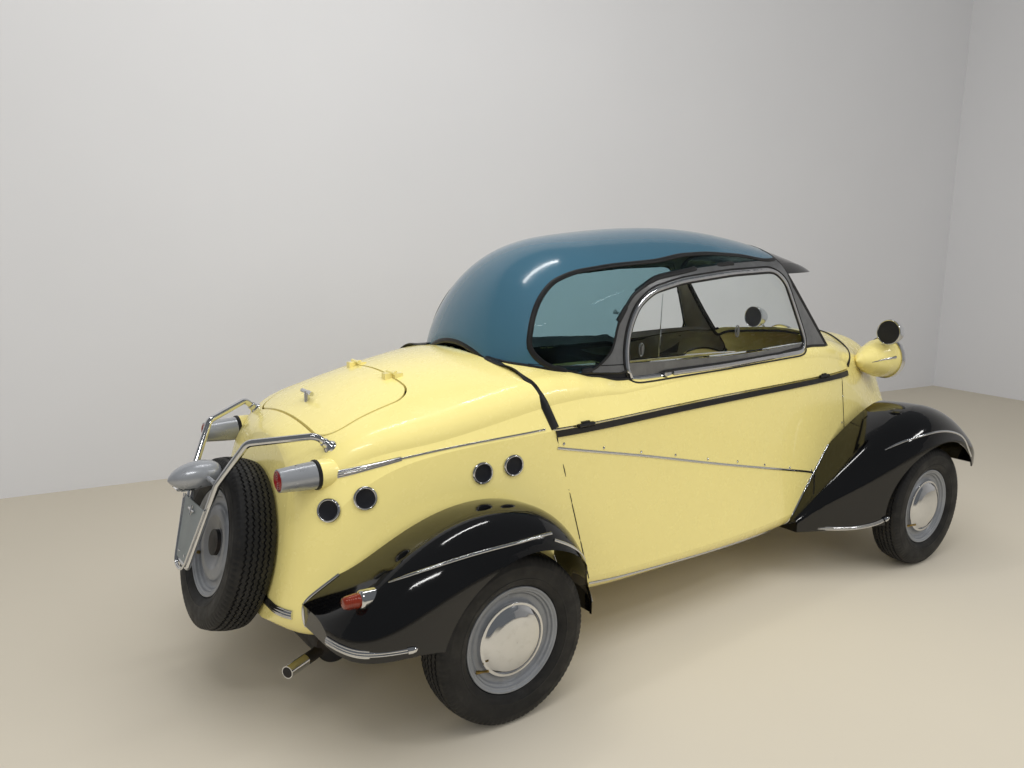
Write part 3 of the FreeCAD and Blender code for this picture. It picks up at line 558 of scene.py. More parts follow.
def contact_paths(name, skin, outward):
    """The outlines of the faces with which a node lies on a skin, on the side that faces outward."""
    work = welded(name)
    near = [skin.find_nearest(v.co)[3] < CONTACT for v in work.verts]
    lies = {face.index for face in work.faces if all(near[v.index] for v in face.verts)
            and skin.find_nearest(face.calc_center_median())[3] < CONTACT}

    def choose(faces, middle):
        off = [face for face in faces if face.index not in lies]
        return len(off) == 1 and off[0].normal.dot(outward(middle)) > 0.05

    return chosen_paths(work, choose)


def edging(paths, section, directions, step, passes):
    """A strip along each path, turned as directions(path, closed) says."""
    parts = []
    for path, closed in paths:
        even = evenly(path, step, closed, passes)
        parts.append(sweep(even, section, directions(even, closed), closed))
    return parts


SCREW_HEAD = ((-0.5, 4.2), (1, 4.2), (2.2, 3.15), (2.8, 1.47), (2.2, 0.756), (2.2, 0))


def screw(skin, at):
    """A domed screw head standing on a surface."""
    return lathe(SCREW_HEAD, *skin.find_nearest(at)[:2], 16)


# Wheels: tyres with zig-zag tread, stepped rims and domed caps

TREAD_HALF, TYRE_RADIUS = 42, 225
TURN_STEPS = 360
GROOVES = (-30, -15, 0, 15, 30)


TYRE_SIDE = ((36, 130), (36, 140.6), (41, 142.4), (46, 148), (50.1, 155), (51.9, 161), (53.1, 162),
             (53.3, 164), (52.8, 165.4), (53.9, 172), (54.8, 180), (55, 187), (54.4, 194), (54.6, 196),
             (53.8, 198), (52.3, 204), (50.3, 210), (47.6, 215), (44.7, 218.6), (41, 219.4))
NOTCHES = {204: 1.2, 210: 2.2, 215: 2.6, 218.6: 2.2}


def tread_rows():
    """Rows across a tyre: offset, radius, zig-zag, notch depth."""
    side = [(offset, radius, 0, NOTCHES.get(radius, 0)) for offset, radius in TYRE_SIDE]
    rows = [(-offset, radius, 0, notch) for offset, radius, _, notch in side]
    for groove in GROOVES:
        for shift, depth in ((-2.6, 0), (-1.6, 4.6), (1.6, 4.6), (2.6, 0)):
            offset = groove + shift
            rows.append((offset, TYRE_RADIUS - 6 * (offset / TREAD_HALF) ** 2 - depth, 2.4, 0))
    return rows + side[::-1]


def tyre(at, axis):
    axis = Vector(axis).normalized()
    first, second = frame_of(axis)
    rows = tread_rows()
    points, faces = [], []
    for i in range(TURN_STEPS):
        turn = math.tau * i / TURN_STEPS
        out = first * math.cos(turn) + second * math.sin(turn)
        wave = (0, 1, 0, -1)[i % 4]
        for offset, radius, zigzag, notch in rows:
            deep = notch if i % 4 == 0 else 0
            points.append(at + axis * (offset + zigzag * wave) * MM + out * (radius - deep) * MM)
    count = len(rows)
    for i in range(TURN_STEPS):
        j = (i + 1) % TURN_STEPS
        for r in range(count):
            s = (r + 1) % count
            faces.append((i * count + r, j * count + r, j * count + s, i * count + s))
    return points, faces


RIM_PROFILE = (
    (-42, 140), (-36, 140), (-36, 129), (-14, 129), (-6, 115), (10, 115), (18, 129), (36, 129), (36, 140),
    (42, 140), (42, 135), (38, 131), (38, 127), (31, 125), (30, 120), (24, 117), (22, 108), (24, 101),
    (31, 97), (34, 88), (34, 70), (24, 40), (24, 18), (8, 18), (8, 32), (18, 44), (26, 66), (22, 86),
    (12, 105), (-8, 109), (-16, 123), (-42, 123))
CAP_PROFILE = (
    (30, 84), (32, 97), (34.5, 98), (36.5, 96.5), (36.5, 90), (39, 87), (45, 79), (50.5, 63), (54, 44),
    (56, 22), (56.4, 0), (53, 0), (46, 62), (36, 80))
VALVE_PROFILE = ((0, 5), (9, 4.4), (12, 3.4), (24, 3), (26, 3.6), (33, 3.6), (34, 0))


def wheel(name, at, axis, body, capped=True):
    tyre_node = "spare_tyre" if name == "spare" else "tyre_" + name
    rim_node = "spare_rim" if name == "spare" else "rim_" + name
    made = piece("treaded_" + tyre_node, [tyre(at, axis)], TYRE_RUBBER, body, 28)
    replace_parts(made, tyre_node)
    rim = soften(RIM_PROFILE, 3)
    made = piece("stepped_" + rim_node, [lathe(rim + rim[:1], at, axis, 96)], RIM_GREY, body, 40)
    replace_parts(made, rim_node)
    if capped:
        cap = rounded(CAP_PROFILE, 4)
        made = piece("domed_hubcap_" + name, [lathe(cap + cap[:1], at, axis, 96)], CHROME, body, 40)
        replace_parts(made, "hubcap_" + name)
    axis = Vector(axis).normalized()
    first, second = frame_of(axis)
    out = (first * 0.86 + second * 0.5).normalized()
    root = at + axis * 29 * MM + out * 120 * MM
    piece("valve_" + name, [lathe(VALVE_PROFILE, root, axis * 0.75 - out * 0.6, 16)], BRASS, body)


AXLES = (("rear", -840, 525), ("front", 1050, 555))
for name, side in SIDES:
    for end, axle_x, track in AXLES:
        place = end + "_" + name
        wheel(place, mm(axle_x, side * track, TYRE_RADIUS), (0, side, 0), "wheel_" + place)
SPARE_LEAN = math.atan(0.237)
SPARE_OUT = Vector((-math.cos(SPARE_LEAN), 0, math.sin(SPARE_LEAN)))
SPARE_UP = Vector((math.sin(SPARE_LEAN), 0, math.cos(SPARE_LEAN)))
SPARE_AT = mm(-1368.7, 0, 417.75)
wheel("spare", SPARE_AT, SPARE_OUT, "body", capped=False)

# Trims that lie on the painted shells

# Places along the car in m, and how far the canopy's shell sinks there in mm
DROP = ((-0.70, 0), (-0.60, 3), (-0.50, 12), (-0.40, 28), (-0.30, 42), (-0.20, 40), (0.0, 30), (0.2, 26),
        (0.4, 22), (0.6, 12), (0.72, 6), (0.9, 0))


def drop_at(x):
    """How far the shell's top edge sinks at a length along the car, in mm."""
    if x <= DROP[0][0] or x >= DROP[-1][0]:
        return 0
    for (x_a, d_a), (x_b, d_b) in zip(DROP, DROP[1:]):
        if x <= x_b:
            t = (x - x_a) / (x_b - x_a)
            return d_a + (d_b - d_a) * (t * t * (3 - 2 * t))


def sunk(point):
    """A point of the canopy's shell, moved down with its top edge."""
    t = max(0, min(1, (point.z - 0.735) / 0.095)) * max(0, min(1, (abs(point.y) - 0.16) / 0.1))
    return point - UP * drop_at(point.x) * MM * t


lowered = settle("lowered_skirt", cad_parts["canopy_skirt"].data.copy(), YELLOW, "canopy")
for vert in lowered.data.vertices:
    vert.co = sunk(vert.co)
lowered.data.update()
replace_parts(lowered, "canopy_skirt")
shells = surface("tub_shell", "nose_shell", "tail_shell", lowered, "tail_lid")


CAST_REACH = 0.15


def met_by(skin, rays, reach):
    """Where rays, given as (start, direction), meet a skin."""
    met = [skin.ray_cast(start, aim, reach)[0] for start, aim in rays]
    return [point for point in met if point is not None]


def on_side(skin, outline, side):
    """Points of a side outline in mm, cast sideways on to a skin."""
    return met_by(skin, [(mm(x, side * 900, z), Vector((0, -side, 0))) for x, z in outline], 0.9)


def cast_on(skin, path, direction):
    """Points dropped on to a skin from outside, along one direction."""
    return met_by(skin, [(point + direction * CAST_REACH, -direction) for point in path], CAST_REACH * 2)


def grown(outline, by):
    """A closed side outline moved outwards."""
    middle = sum((Vector(p) for p in outline), Vector((0, 0))) / len(outline)
    made = []
    for i, point in enumerate(outline):
        along = (Vector(outline[(i + 1) % len(outline)]) - Vector(outline[i - 1])).normalized()
        out = Vector((along.y, -along.x))
        if out.dot(Vector(point) - middle) < 0:
            out = -out
        made.append(Vector(point) + out * by)
    return made


def axle_outward(x):
    return lambda at: Vector((at.x - x * MM, 0, at.z - 0.2)).normalized()


for end, axle_x, _ in AXLES:
    for name, side in SIDES:
        node = end + "_wing_" + name
        paths = contact_paths(node, shells, axle_outward(axle_x))
        beads = edging(paths, round_bar(4.5), lambda path, closed: lay(shells, path, closed)[1], 0.008, 8)
        piece(node + "_bead", beads, CHROME, "body")

WINGS = [(end, name, side) for end in ("rear", "front") for name, side in SIDES]
SPEARS = {
    "rear": ((-1175, -541, 452), (-1134, -568, 469), (-1072, -595, 486), (-977, -616, 500), (-867, -623, 503),
             (-770, -611, 496)),
    "front": ((805, -547, 461), (862, -575, 487), (932, -605, 505), (1032, -628, 515), (1110, -640, 508),
              (1172, -644, 484), (1211, -649, 437), (1246, -646, 400)),
}
LIPS = {
    "rear": ((-770, -611, 496), (-715, -600, 468), (-660, -572, 424), (-614, -534, 362), (-588, -520, 305),
             (-577, -527, 258)),
}
for end, name, side in WINGS:
    skin = surface(end + "_wing_" + name)
    parts = []
    runs = [(SPEARS[end], Vector((0, side * 0.55, 0.83)), lambda t: min(1, 0.35 + t * 6))]
    if end in LIPS:
        runs.append((LIPS[end], Vector((0, side, 0)), None))
    for points, outside, thin in runs:
        run = evenly(cast_on(skin, flow(mirrored(points, side)), outside), 0.012, False, 4)
        ups = outer_normals(skin, run, False, lambda at: outside, 4)
        parts.append(sweep(run, half_round(8, 3.2), ups, False, thin))
    piece(end + "_wing_spear_" + name, parts, CHROME, "body")

GUARDS = {
    "rear": ((-1296, -470, 318), (-1300, -500, 316), (-1288, -535, 314), (-1259, -563, 312),
             (-1225, -592, 316), (-1188, -617, 321), (-1165, -622, 322)),
    "front": ((530, -416, 196), (582, -466, 196), (640, -510, 195), (696, -539, 195), (772, -580, 211),
              (799, -592, 224)),
}
GUARD_SIZE = {"rear": (20, 7), "front": (14, 5)}
GUARD_CAP = ((-6, 9), (4, 9), (12, 6.5), (16, 2.5), (17, 0))
for end, name, side in WINGS:
    skin = surface(end + "_wing_" + name)
    places = lay(skin, evenly(flow(mirrored(GUARDS[end], side)), 0.01, False, 6))[0]
    run = evenly(places, 0.01, False, 8)
    ups = outer_normals(skin, run, False, lambda at: Vector((0, at.y, 0)).normalized(), 12)
    cap = lathe(GUARD_CAP, run[-1] + ups[-1] * 0.003, (run[-1] - run[-3]).normalized(), 20)
    piece(end + "_wing_guard_" + name, [sweep(run, fluted(*GUARD_SIZE[end]), ups), cap], CHROME, "body")

FOLD = ((-600, -418, 656), (-270, -409, 581), (113, -391, 489), (567, -378, 388), (651, -373, 367))
FOLD_SCREWS = ((-578, -424, 665), (-427, -419, 630), (-266, -409, 591), (-107, -399, 555), (51, -392, 516),
               (205, -387, 482), (354, -382, 446), (503, -378, 411), (640, -372, 377))
OTHER_SCREWS = ((-565, -424, 694), (-540, -424, 692), (880, -300, 698), (905, -297, 696), (889, -315, 616),
                (874, -331, 518))
SILL = ((-470, -423, 233), (-341, -418, 222), (0, -416, 206), (300, -410, 198), (500, -420, 192))
TAIL_STRIP = ((-1195, -249, 651), (-1123, -291, 667), (-1042, -317, 680))
TAIL_LINE = ((-1060, -312, 678), (-923, -351, 692), (-789, -381, 703), (-640, -417, 712))
RIDGE = ((-925, 0, 800), (-850, 0, 822), (-786, 0, 838), (-708, 0, 854))
for name, side in SIDES:
    parts = []
    for points, section, narrow in ((FOLD, half_round(8, 3), None), (SILL, half_round(9, 3.5), None),
                                    (TAIL_STRIP, fluted(19, 5), lambda t: 1 - 0.45 * t),
                                    (TAIL_LINE, half_round(6, 2.6), None)):
        cast = on_side(shells, [(p.x / MM, p.z / MM) for p in flow(mirrored(points, side))], side)
        parts.append(on_surface(shells, evenly(cast, 0.012, False, 4), section, narrow=narrow))
    piece("side_trims_" + name, parts, CHROME, "body")
    heads = [screw(shells, mm(*point)) for point in mirrored(FOLD_SCREWS + OTHER_SCREWS, side)]
    piece("side_screws_" + name, heads, CHROME, "body")
ridge = on_surface(shells, flow(RIDGE), half_round(11, 4),
                   narrow=lambda t: 0.5 + 0.5 * math.sin(math.pi * (0.15 + 0.7 * t)))
piece("ridge_strip", [ridge], RUBBER, "body")

# Fluted strip round the bottom of the tail

tail_skin = surface("tail_shell")
TAIL_MIDDLE = mm(-1130, 0, 322)
rays = []
for k in range(37):
    turn = math.radians(90 + 180 * k / 36)
    aim = Vector((math.cos(turn), math.sin(turn) * 0.62, 0))
    rays.append((TAIL_MIDDLE + aim * 0.9, -aim))
around = [point for point in met_by(tail_skin, rays, 0.85) if abs(point.y) < 0.34]
piece("tail_bottom_strip", [on_surface(tail_skin, evenly(around, 0.012), fluted(22, 8))], CHROME, "body")

# Vents in the tail's sides

VENTS = ((-1222, -330, 572), (-1140, -360, 596), (-830, -405, 619), (-740, -416, 628))
VENT_WELL = ((4.5, 23.6), (2.6, 20), (1.2, 12), (0.8, 0))
VENT_RING = ((0, 29), (3, 30), (6, 28), (7, 25.5), (6, 23.5), (2, 22.5), (0, 22.5))
for name, side in SIDES:
    rings, wells = [], []
    for point in mirrored(VENTS, side):
        place, normal = tail_skin.find_nearest(mm(*point))[:2]
        rings.append(lathe(rounded(VENT_RING, 2), place, normal, 48))
        wells.append(lathe(VENT_WELL, place, normal, 48))
    piece("vent_rings_" + name, rings, CHROME, "body")
    piece("vent_wells_" + name, wells, DARK, "body")

# Canopy: piping, polished window frames, catches and pane edges


def glass_outward(at):
    return Vector((at.x * 0.25, at.y * 1.6, (at.z - 0.75) * 0.9)).normalized()


QUARTER_WINDOW = ((-584, 905), (-556, 985), (-522, 1040), (-468, 1088), (-390, 1114), (-250, 1130),
                  (-60, 1140), (60, 1156), (200, 1160), (380, 1150), (500, 1131), (322, 1127), (113, 1116),
                  (-105, 1092), (-222, 1045), (-290, 970), (-326, 885), (-372, 846), (-470, 836), (-545, 856))


def prism(outline):
    """A solid through the whole car with a side outline in mm."""
    points = [(x * MM, y, z * MM) for y in (-1, 1) for x, z in outline]
    return placed("prism", outward_mesh("prism", points, slab_faces(len(outline))))


def cut_copy(name, source, cutter, operation, finish, body):
    """A copy of a node, cut by a solid."""
    work = welded(source)
    mesh = bpy.data.meshes.new(name)
    work.to_mesh(mesh)
    work.free()
    shaped = modified(mesh, (("BOOLEAN", {"operation": operation, "solver": "EXACT", "object": cutter}),))
    shaped.shade_smooth()
    shaped.set_sharp_from_angle(angle=math.radians(SHARP))
    return settle(name, shaped, finish, body)


cutter = prism(QUARTER_WINDOW)
blue_panel = cut_copy("blue_dome_panel", "canopy_dome", cutter, "DIFFERENCE", BLUE, "canopy")
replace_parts(blue_panel, "canopy_dome")
cut_copy("quarter_panes", "canopy_dome", cutter, "INTERSECT", TINTED, "canopy")
bpy.data.objects.remove(cutter)
glass_outside = surface("window_frames", "canopy_dome")


def glass_directions(path, closed):
    return outer_normals(glass_outside, path, closed, glass_outward)


for label, source, width, passes in (("dome", blue_panel, 17, 12), ("frame", "window_frames", 8, 8)):
    strips = edging(rim_paths(source, glass_outward), half_round(width, 4.5), glass_directions, 0.01, passes)
    piece(label + "_piping", strips, RUBBER, "canopy")


def screen_outward(at):
    return Vector((0.8, at.y * 1.8, 0.5)).normalized()


screen_rims = rim_paths("windscreen", screen_outward)
strips = edging(screen_rims, round_bar(6.5), lambda path, closed: None, 0.01, 6)
piece("windscreen_rubber", strips, RUBBER, "canopy")

# Foot of the glasshouse: piping along the lowered edge, with the pillar's flared casting above it

FOOT_NEAR, FOOT_LEAST_Z = 0.012, 0.78
LEAST_SINK, SLAB = 0.004, 0.006
PILLAR_X = -0.26
glass_near = surface("window_frames", "canopy_dome", "side_panes")
tops = rim_paths("canopy_skirt", lambda at: Vector((0, at.y, 0.35)).normalized(),
                 lambda at: glass_near.find_nearest(at)[3] < FOOT_NEAR and at.z > FOOT_LEAST_Z)
footings, castings, panels = [], [], []
for path, closed in tops:
    even = evenly(path, 0.008, closed, 6)
    low = [sunk(point) for point in even]
    footings.append(sweep(low, round_bar(5.5), None, closed))
    for i in range(len(even) - 1):
        outward = Vector((0, math.copysign(1, even[i].y), 0))
        if max((even[k] - low[k]).length for k in (i, i + 1)) < LEAST_SINK:
            continue
        corners = [low[i], low[i + 1], even[i + 1] + UP * LEAST_SINK, even[i] + UP * LEAST_SINK]
        thick = [corner - outward * SLAB for corner in corners]
        slab = (corners + thick, [(0, 1, 2, 3), (7, 6, 5, 4), (0, 4, 5, 1), (3, 2, 6, 7)])
        (castings if even[i].x > PILLAR_X else panels).append(slab)
piece("canopy_foot_piping", footings, RUBBER, "canopy")
piece("pillar_foot", castings, ALLOY, "canopy")
piece("quarter_foot", panels, DARK, "canopy")

WINDOW = ((-262, 806), (-262, 880), (-240, 945), (-198, 1006), (-129, 1046), (11, 1070), (264, 1087),
          (505, 1092), (559, 1048), (656, 838), (635, 814), (178, 806))
BEZEL = ((7.5, -3), (7.5, 3.2), (5.5, 5), (1, 5.6), (-4, 5), (-7.5, 2.6), (-8, -3))
frame_skin = surface("window_frames", lowered)
pane_skin = surface("side_panes")
window = soften(WINDOW, 34)
for name, side in SIDES:
    ring = evenly(on_side(frame_skin, grown(window, 8), side), 0.008, True)
    places, ups = lay(frame_skin, ring, True)
    piece("window_bezel_" + name, [sweep(places, BEZEL, ups, True)], CHROME, "canopy", 50)
    line = evenly(on_side(frame_skin, grown(window, 20), side), 0.008, True)
    piece("window_cord_" + name, [on_surface(frame_skin, line, half_round(6, 3.4), True)], RUBBER, "canopy")
    catches = []
    for spot in on_side(pane_skin, ((-199, 880), (268, 904)), side):
        place, normal = pane_skin.find_nearest(spot)[:2]
        oval = [mm(9 * across / 19, 0, up) + place + normal * 0.002 for across, up in round_bar(19, 24)]
        catches.append(sweep(oval, round_bar(2.2, 8), [normal] * 24, True))
        grip = [place + mm(0, 0, up) + normal * 0.003 for up in (-12, 12)]
        catches.append(sweep(grip, half_round(7, 5), [normal, normal]))
    piece("pane_catches_" + name, catches, ALLOY, "canopy")
    edge = on_side(pane_skin, [(-84 - 46 * k / 20, 1040 - 228 * k / 20) for k in range(21)], side)
    strip = on_surface(pane_skin, evenly(edge, 0.02), half_round(4, 2.4))
    piece("pane_edge_" + name, [strip], GLASS_LENS, "canopy")

# Visor, pulled in a little

VISOR_SHARE = 0.8
visor = settle("peaked_visor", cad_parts["windscreen_visor"].data.copy(), BLACK, "canopy")
visor_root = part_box("windscreen_visor")[0][0] + 0.01
for vert in visor.data.vertices:
    vert.co.x = visor_root + (vert.co.x - visor_root) * VISOR_SHARE
visor.data.update()
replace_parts(visor, "windscreen_visor")

# Dark lining of the cabin below the windows

LININGS = (
    # name, skin, body, from x, to x, steps, from z, to z, steps
    ("canopy", surface(lowered), "canopy", -640, 640, 60, 724, 832, 14),
    ("tub", surface("tub_shell"), "body", -560, 700, 40, 240, 708, 14),
)
LINING_OFF, LEAST_Y, LARGEST_FACE = 0.002, 0.2, 0.14


def lining(skin, side, x_low, x_high, x_steps, z_low, z_high, z_steps):
    """A sheet just inside a shell, where rays from the middle meet it."""
    points, faces, number = [], [], {}
    for i in range(x_steps + 1):
        for j in range(z_steps + 1):
            x = x_low + (x_high - x_low) * i / x_steps
            z = z_low + (z_high - z_low) * j / z_steps
            met = skin.ray_cast(mm(x, 0, z), Vector((0, side, 0)), 0.6)[0]
            if met is not None and abs(met.y) >= LEAST_Y:
                number[i, j] = len(points)
                points.append(met - Vector((0, side * LINING_OFF, 0)))
    for i in range(x_steps):
        for j in range(z_steps):
            ring = [(i, j), (i + 1, j), (i + 1, j + 1), (i, j + 1)]
            if all(key in number for key in ring):
                spots = [points[number[key]] for key in ring]
                if max((a - b).length for a in spots for b in spots) < LARGEST_FACE:
                    faces.append(tuple(number[key] for key in ring))
    return points, faces


for name, side in SIDES:
    for label, skin, body, *grid in LININGS:
        piece("lining_%s_%s" % (label, name), [lining(skin, side, *grid)], DARK, body)

# Rubber bands over the canopy's seams

SEAM_NEAR, SEAM_LEAST_Z, SEAM_LEAST = 0.009, 0.72, 0.2


def seam_directions(path, closed):
    return outer_normals(shells, path, closed, lambda at: Vector((0, at.y, at.z - 0.5)).normalized())


for label, other, width in (("rear", surface("tail_shell"), 27), ("front", surface("nose_shell"), 13)):
    found = rim_paths("canopy_skirt", lambda at: Vector((0, at.y, 0.3)).normalized(),
                      lambda at: other.find_nearest(at)[3] < SEAM_NEAR and at.z > SEAM_LEAST_Z, SEAM_LEAST)
    bands = edging(found, half_round(width, 6), seam_directions, 0.012, 14)
    piece("seam_band_" + label, bands, RUBBER, "canopy")

# Thin joints between the body's panels

for name, side in SIDES:
    lines = []
    for top_x, slope in ((-609, 0.298), (890, 0)):
        cast = on_side(shells, [(top_x - slope * (z - 708), z) for z in range(686, 236, -15)], side)
        lines.append(on_surface(shells, evenly(cast, 0.012, False, 2), half_round(3.4, 1.8)))
    piece("panel_joints_" + name, lines, RUBBER, "body")

# Lamps

HEAD_RING = ((-16, 84.6), (-4, 86.5), (6, 86), (12, 82), (14, 78), (12, 75), (4, 74), (0.4, 74))
HEAD_BOWL = ((9, 74.5), (4, 60), (1.6, 40), (0.8, 14), (6, 12), (8, 8), (8.4, 0))
HEAD_GLASS = ((8, 75.5), (11, 75.5), (18, 66), (24, 48), (27, 26), (28, 0), (25, 0), (21, 48), (15, 66),
              (8, 75.5))
HEAD_SPEAR = ((1108, -300, 722), (1150, -322, 734), (1215, -330, 742))
MIRROR_POD = ((-84, 0), (-80, 14), (-64, 31), (-38, 43), (-14, 49), (-2, 50), (0, 50), (0, 0))
MIRROR_FACE = ((0.2, 45), (0.9, 45), (0.9, 0))
MIRROR_RIM = ((-2, 50.3), (2, 50.4), (3, 48), (2, 45.4), (0, 45.2))
TAIL_LAMP = ((-92, 0), (-92, 34), (-60, 32.6), (-20, 29.6), (-3, 28.2), (0, 27.6), (1, 25.5), (-1, 24.6),
             (-1, 0))
TAIL_GASKET = ((-98, 30), (-98, 37), (-90, 37), (-88, 33))
TAIL_SOCKET = ((-170, 20), (-150, 32), (-125, 36), (-98, 35.5), (-96, 20))
TAIL_LENS = [(-1, 25)] + [(1.2 + 1.8 * (k % 2), 24.4 - 2.6 * k) for k in range(9)] + [(3.2, 0)]
TURN_BASE = ((-24, 23), (8, 22.5), (12, 20.5), (14, 17.6))
RIB = ((0, 17.2), (2, 18.2), (4, 17))
TURN_RIBS = ([(10, 18)] + [(18 + 5 * k + on, radius - 0.55 * k) for k in range(6) for on, radius in RIB]
             + [(52.5, 12), (53.5, 8), (53.5, 0)])
REARWARDS = Vector((-1, 0, 0))
HEADLAMP_AT, MIRROR_AT = (1265, -255, 728), (1145, -328, 846)
MIRROR_FOOT, STEM_TOP = (1184, -284, 800), (1180, -313, 818)
TAIL_LAMP_AT, TURN_LAMP_AT, TURN_RAY_FROM = (-1326, -285, 651), (-1215, -520, 418), (-1500, -520, 418)
lamp_bodies = []
for name, side in SIDES:
    at, axis = at_side(HEADLAMP_AT, side), Vector((1, side * 0.06, 0))
    turned("headlamp_ring_" + name, rounded(HEAD_RING, 3), at, axis, CHROME, 72)
    turned("headlamp_bowl_" + name, HEAD_BOWL, at, axis, CHROME, 72)
    turned("headlamp_glass_" + name, HEAD_GLASS, at, axis, GLASS_LENS, 72)
    spear = on_surface(surface("headlamps"), flow(mirrored(HEAD_SPEAR, side)), half_round(11, 4),
                       narrow=lambda t: 0.25 + 0.75 * t)
    piece("headlamp_spear_" + name, [spear], CHROME, "body")
    at, axis = at_side(MIRROR_AT, side), Vector((-1, 0, 0.05))
    foot = surface("headlamps", "nose_shell").find_nearest(at_side(MIRROR_FOOT, side))[0]
    stem = sweep([foot + mm(0, 0, -6), at_side(STEM_TOP, side)], round_bar(5.5))
    piece("mirror_" + name, [lathe(rounded(MIRROR_POD, 6), at, axis, 48), stem], CHROME, "body")
    turned("mirror_face_" + name, MIRROR_FACE, at, axis, DARK)
    turned("mirror_rim_" + name, rounded(MIRROR_RIM, 1.5), at, axis, CHROME)
    at, axis = at_side(TAIL_LAMP_AT, side), REARWARDS
    lamp_bodies.append(lathe(TAIL_LAMP, at, axis, 48))
    turned("tail_lamp_gasket_" + name, rounded(TAIL_GASKET, 2), at, axis, RUBBER)
    turned("tail_lamp_socket_" + name, TAIL_SOCKET, at, axis, YELLOW)
    turned("tail_lamp_lens_" + name, TAIL_LENS, at, axis, RED_LENS, sharp=20)
    turned("tail_lamp_screw_" + name, ((0, 3.2), (1.6, 2.8), (2.2, 0)), at + mm(45, 0, 30.5), UP, CHROME, 12)
    met = surface("rear_wing_" + name).ray_cast(at_side(TURN_RAY_FROM, side), -REARWARDS, 0.6)[0]
    at, axis = met or at_side(TURN_LAMP_AT, side), Vector((-1, 0, side * -0.05))
    turned("turn_lamp_base_" + name, rounded(TURN_BASE, 2), at, axis, CHROME, 32)
    turned("turn_lamp_ribs_" + name, TURN_RIBS, at, axis, ORANGE_LENS, 32, 60)
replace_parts(piece("tail_lamp_bodies", lamp_bodies, SILVER, "body"), "tail_lamps")

# Plate lamp: a teardrop with a flat underside on a cross rod

lamp_at = mm(-1436, 0, 612)
drop = ((-66, 0), (-65, 14), (-58, 27), (-42, 37), (-18, 42), (6, 41), (30, 35), (50, 25), (62, 13), (68, 4),
        (69, 0))
points, faces = lathe(rounded(drop, 8), lamp_at, Vector((-1, 0, -0.06)), 48)
for point in points:
    point.z = max(lamp_at.z - 0.026, lamp_at.z + (point.z - lamp_at.z) * 0.88)
rod = sweep([lamp_at + Vector((0.02, y, 0)) for y in (-0.092, 0.092)], round_bar(6))
lens = sweep([lamp_at + mm(-26, y, -26.5) for y in (-24, 24)], half_round(52, -4))
piece("plate_lamp_housing", [(points, faces), rod], SILVER, "body")
piece("plate_lamp_window", [lens], GLASS_LENS, "body")

# Tail furniture: feet of the carrier bars, plate surround and clip


def spare_point(out, up):
    """A point in mm out from the spare wheel's middle and up along its face."""
    return SPARE_AT + SPARE_OUT * out * MM + SPARE_UP * up * MM


BAR_KNEE, BAR_ROOT = (-1215, -255, 738), (-1165, -262, 690)
FOOT = ((-8, 19), (0, 18.5), (5, 15), (9, 12.5), (20, 11.5), (22, 9))
for name, side in SIDES:
    knee, root = at_side(BAR_KNEE, side), at_side(BAR_ROOT, side)
    along = (root - knee).normalized()
    toe = surface("tail_shell", "tail_lid").ray_cast(knee - along * 0.05, along, 0.2)[0] or root
    turned("bar_foot_" + name, rounded(FOOT, 2), toe, -along, CHROME, 32, 40)

plate_low = spare_point(98, -55)
plate_up = (spare_point(85, 175) - plate_low).normalized()
plate_out = Vector((-plate_up.z, 0, plate_up.x))


def plate_point(across, up, out):
    """A point in mm across, up and out from the plate's lower edge."""
    return plate_low + plate_out * (9 + out) * MM + plate_up * up * MM + Vector((0, across * MM, 0))


PLATE = ((-34, 8), (34, 8), (76, 158), (-76, 158))
ring = soften(PLATE, 6)
plate_points = [plate_point(a, u, out) for out in (0, 3) for a, u in ring]
plate = piece("tapered_plate", [(plate_points, slab_faces(len(ring)))], PLATE_GREY, "body")
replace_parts(plate, "number_plate")

SURROUND = ((-80, 160), (-37, 6), (-26, -8), (0, -13), (26, -8), (37, 6), (80, 160))
rods = []
for shift, out in ((0, 1), (5.5, 3.5)):
    path = [plate_point(a * (1 + shift / 60), u - shift * 0.6 * (u < 10), out)
            for a, u in rounded(SURROUND, 12)]
    even = evenly(path, 0.006)
    rods.append(sweep(even, round_bar(2.6, 10), [plate_out] * len(even)))
piece("plate_surround", rods, CHROME, "body")
clip = [sweep([plate_point(-22, 138, 4), plate_point(22, 138, 4)], half_round(7, 4), [plate_out] * 2),
        sweep([plate_point(0, 126, 4), plate_point(0, 150, 4)], half_round(8, 5), [plate_out] * 2)]
piece("plate_clip", clip, CHROME, "body")
piece("plate_screws", [lathe([(0, 3.6), (2, 3.2), (2.8, 0)], plate_point(a, u, 3), plate_out, 14)
                       for a, u in ((-24, 24), (24, 24))], CHROME, "body")

PIPE_ROOT, PIPE_TIP = (-1230, -230, 158), (-1322, -285, 162)
PIPE_END = ((-70, 15.1), (-70, 16), (0.6, 16), (0.6, 13.6), (-26, 13.4), (-26, 0))
for name, side in SIDES:
    root, tip = at_side(PIPE_ROOT, side), at_side(PIPE_TIP, side)
    turned("pipe_end_" + name, PIPE_END, tip, (tip - root).normalized(), CHROME, 40)

# Seats: crowned cushions with pleats

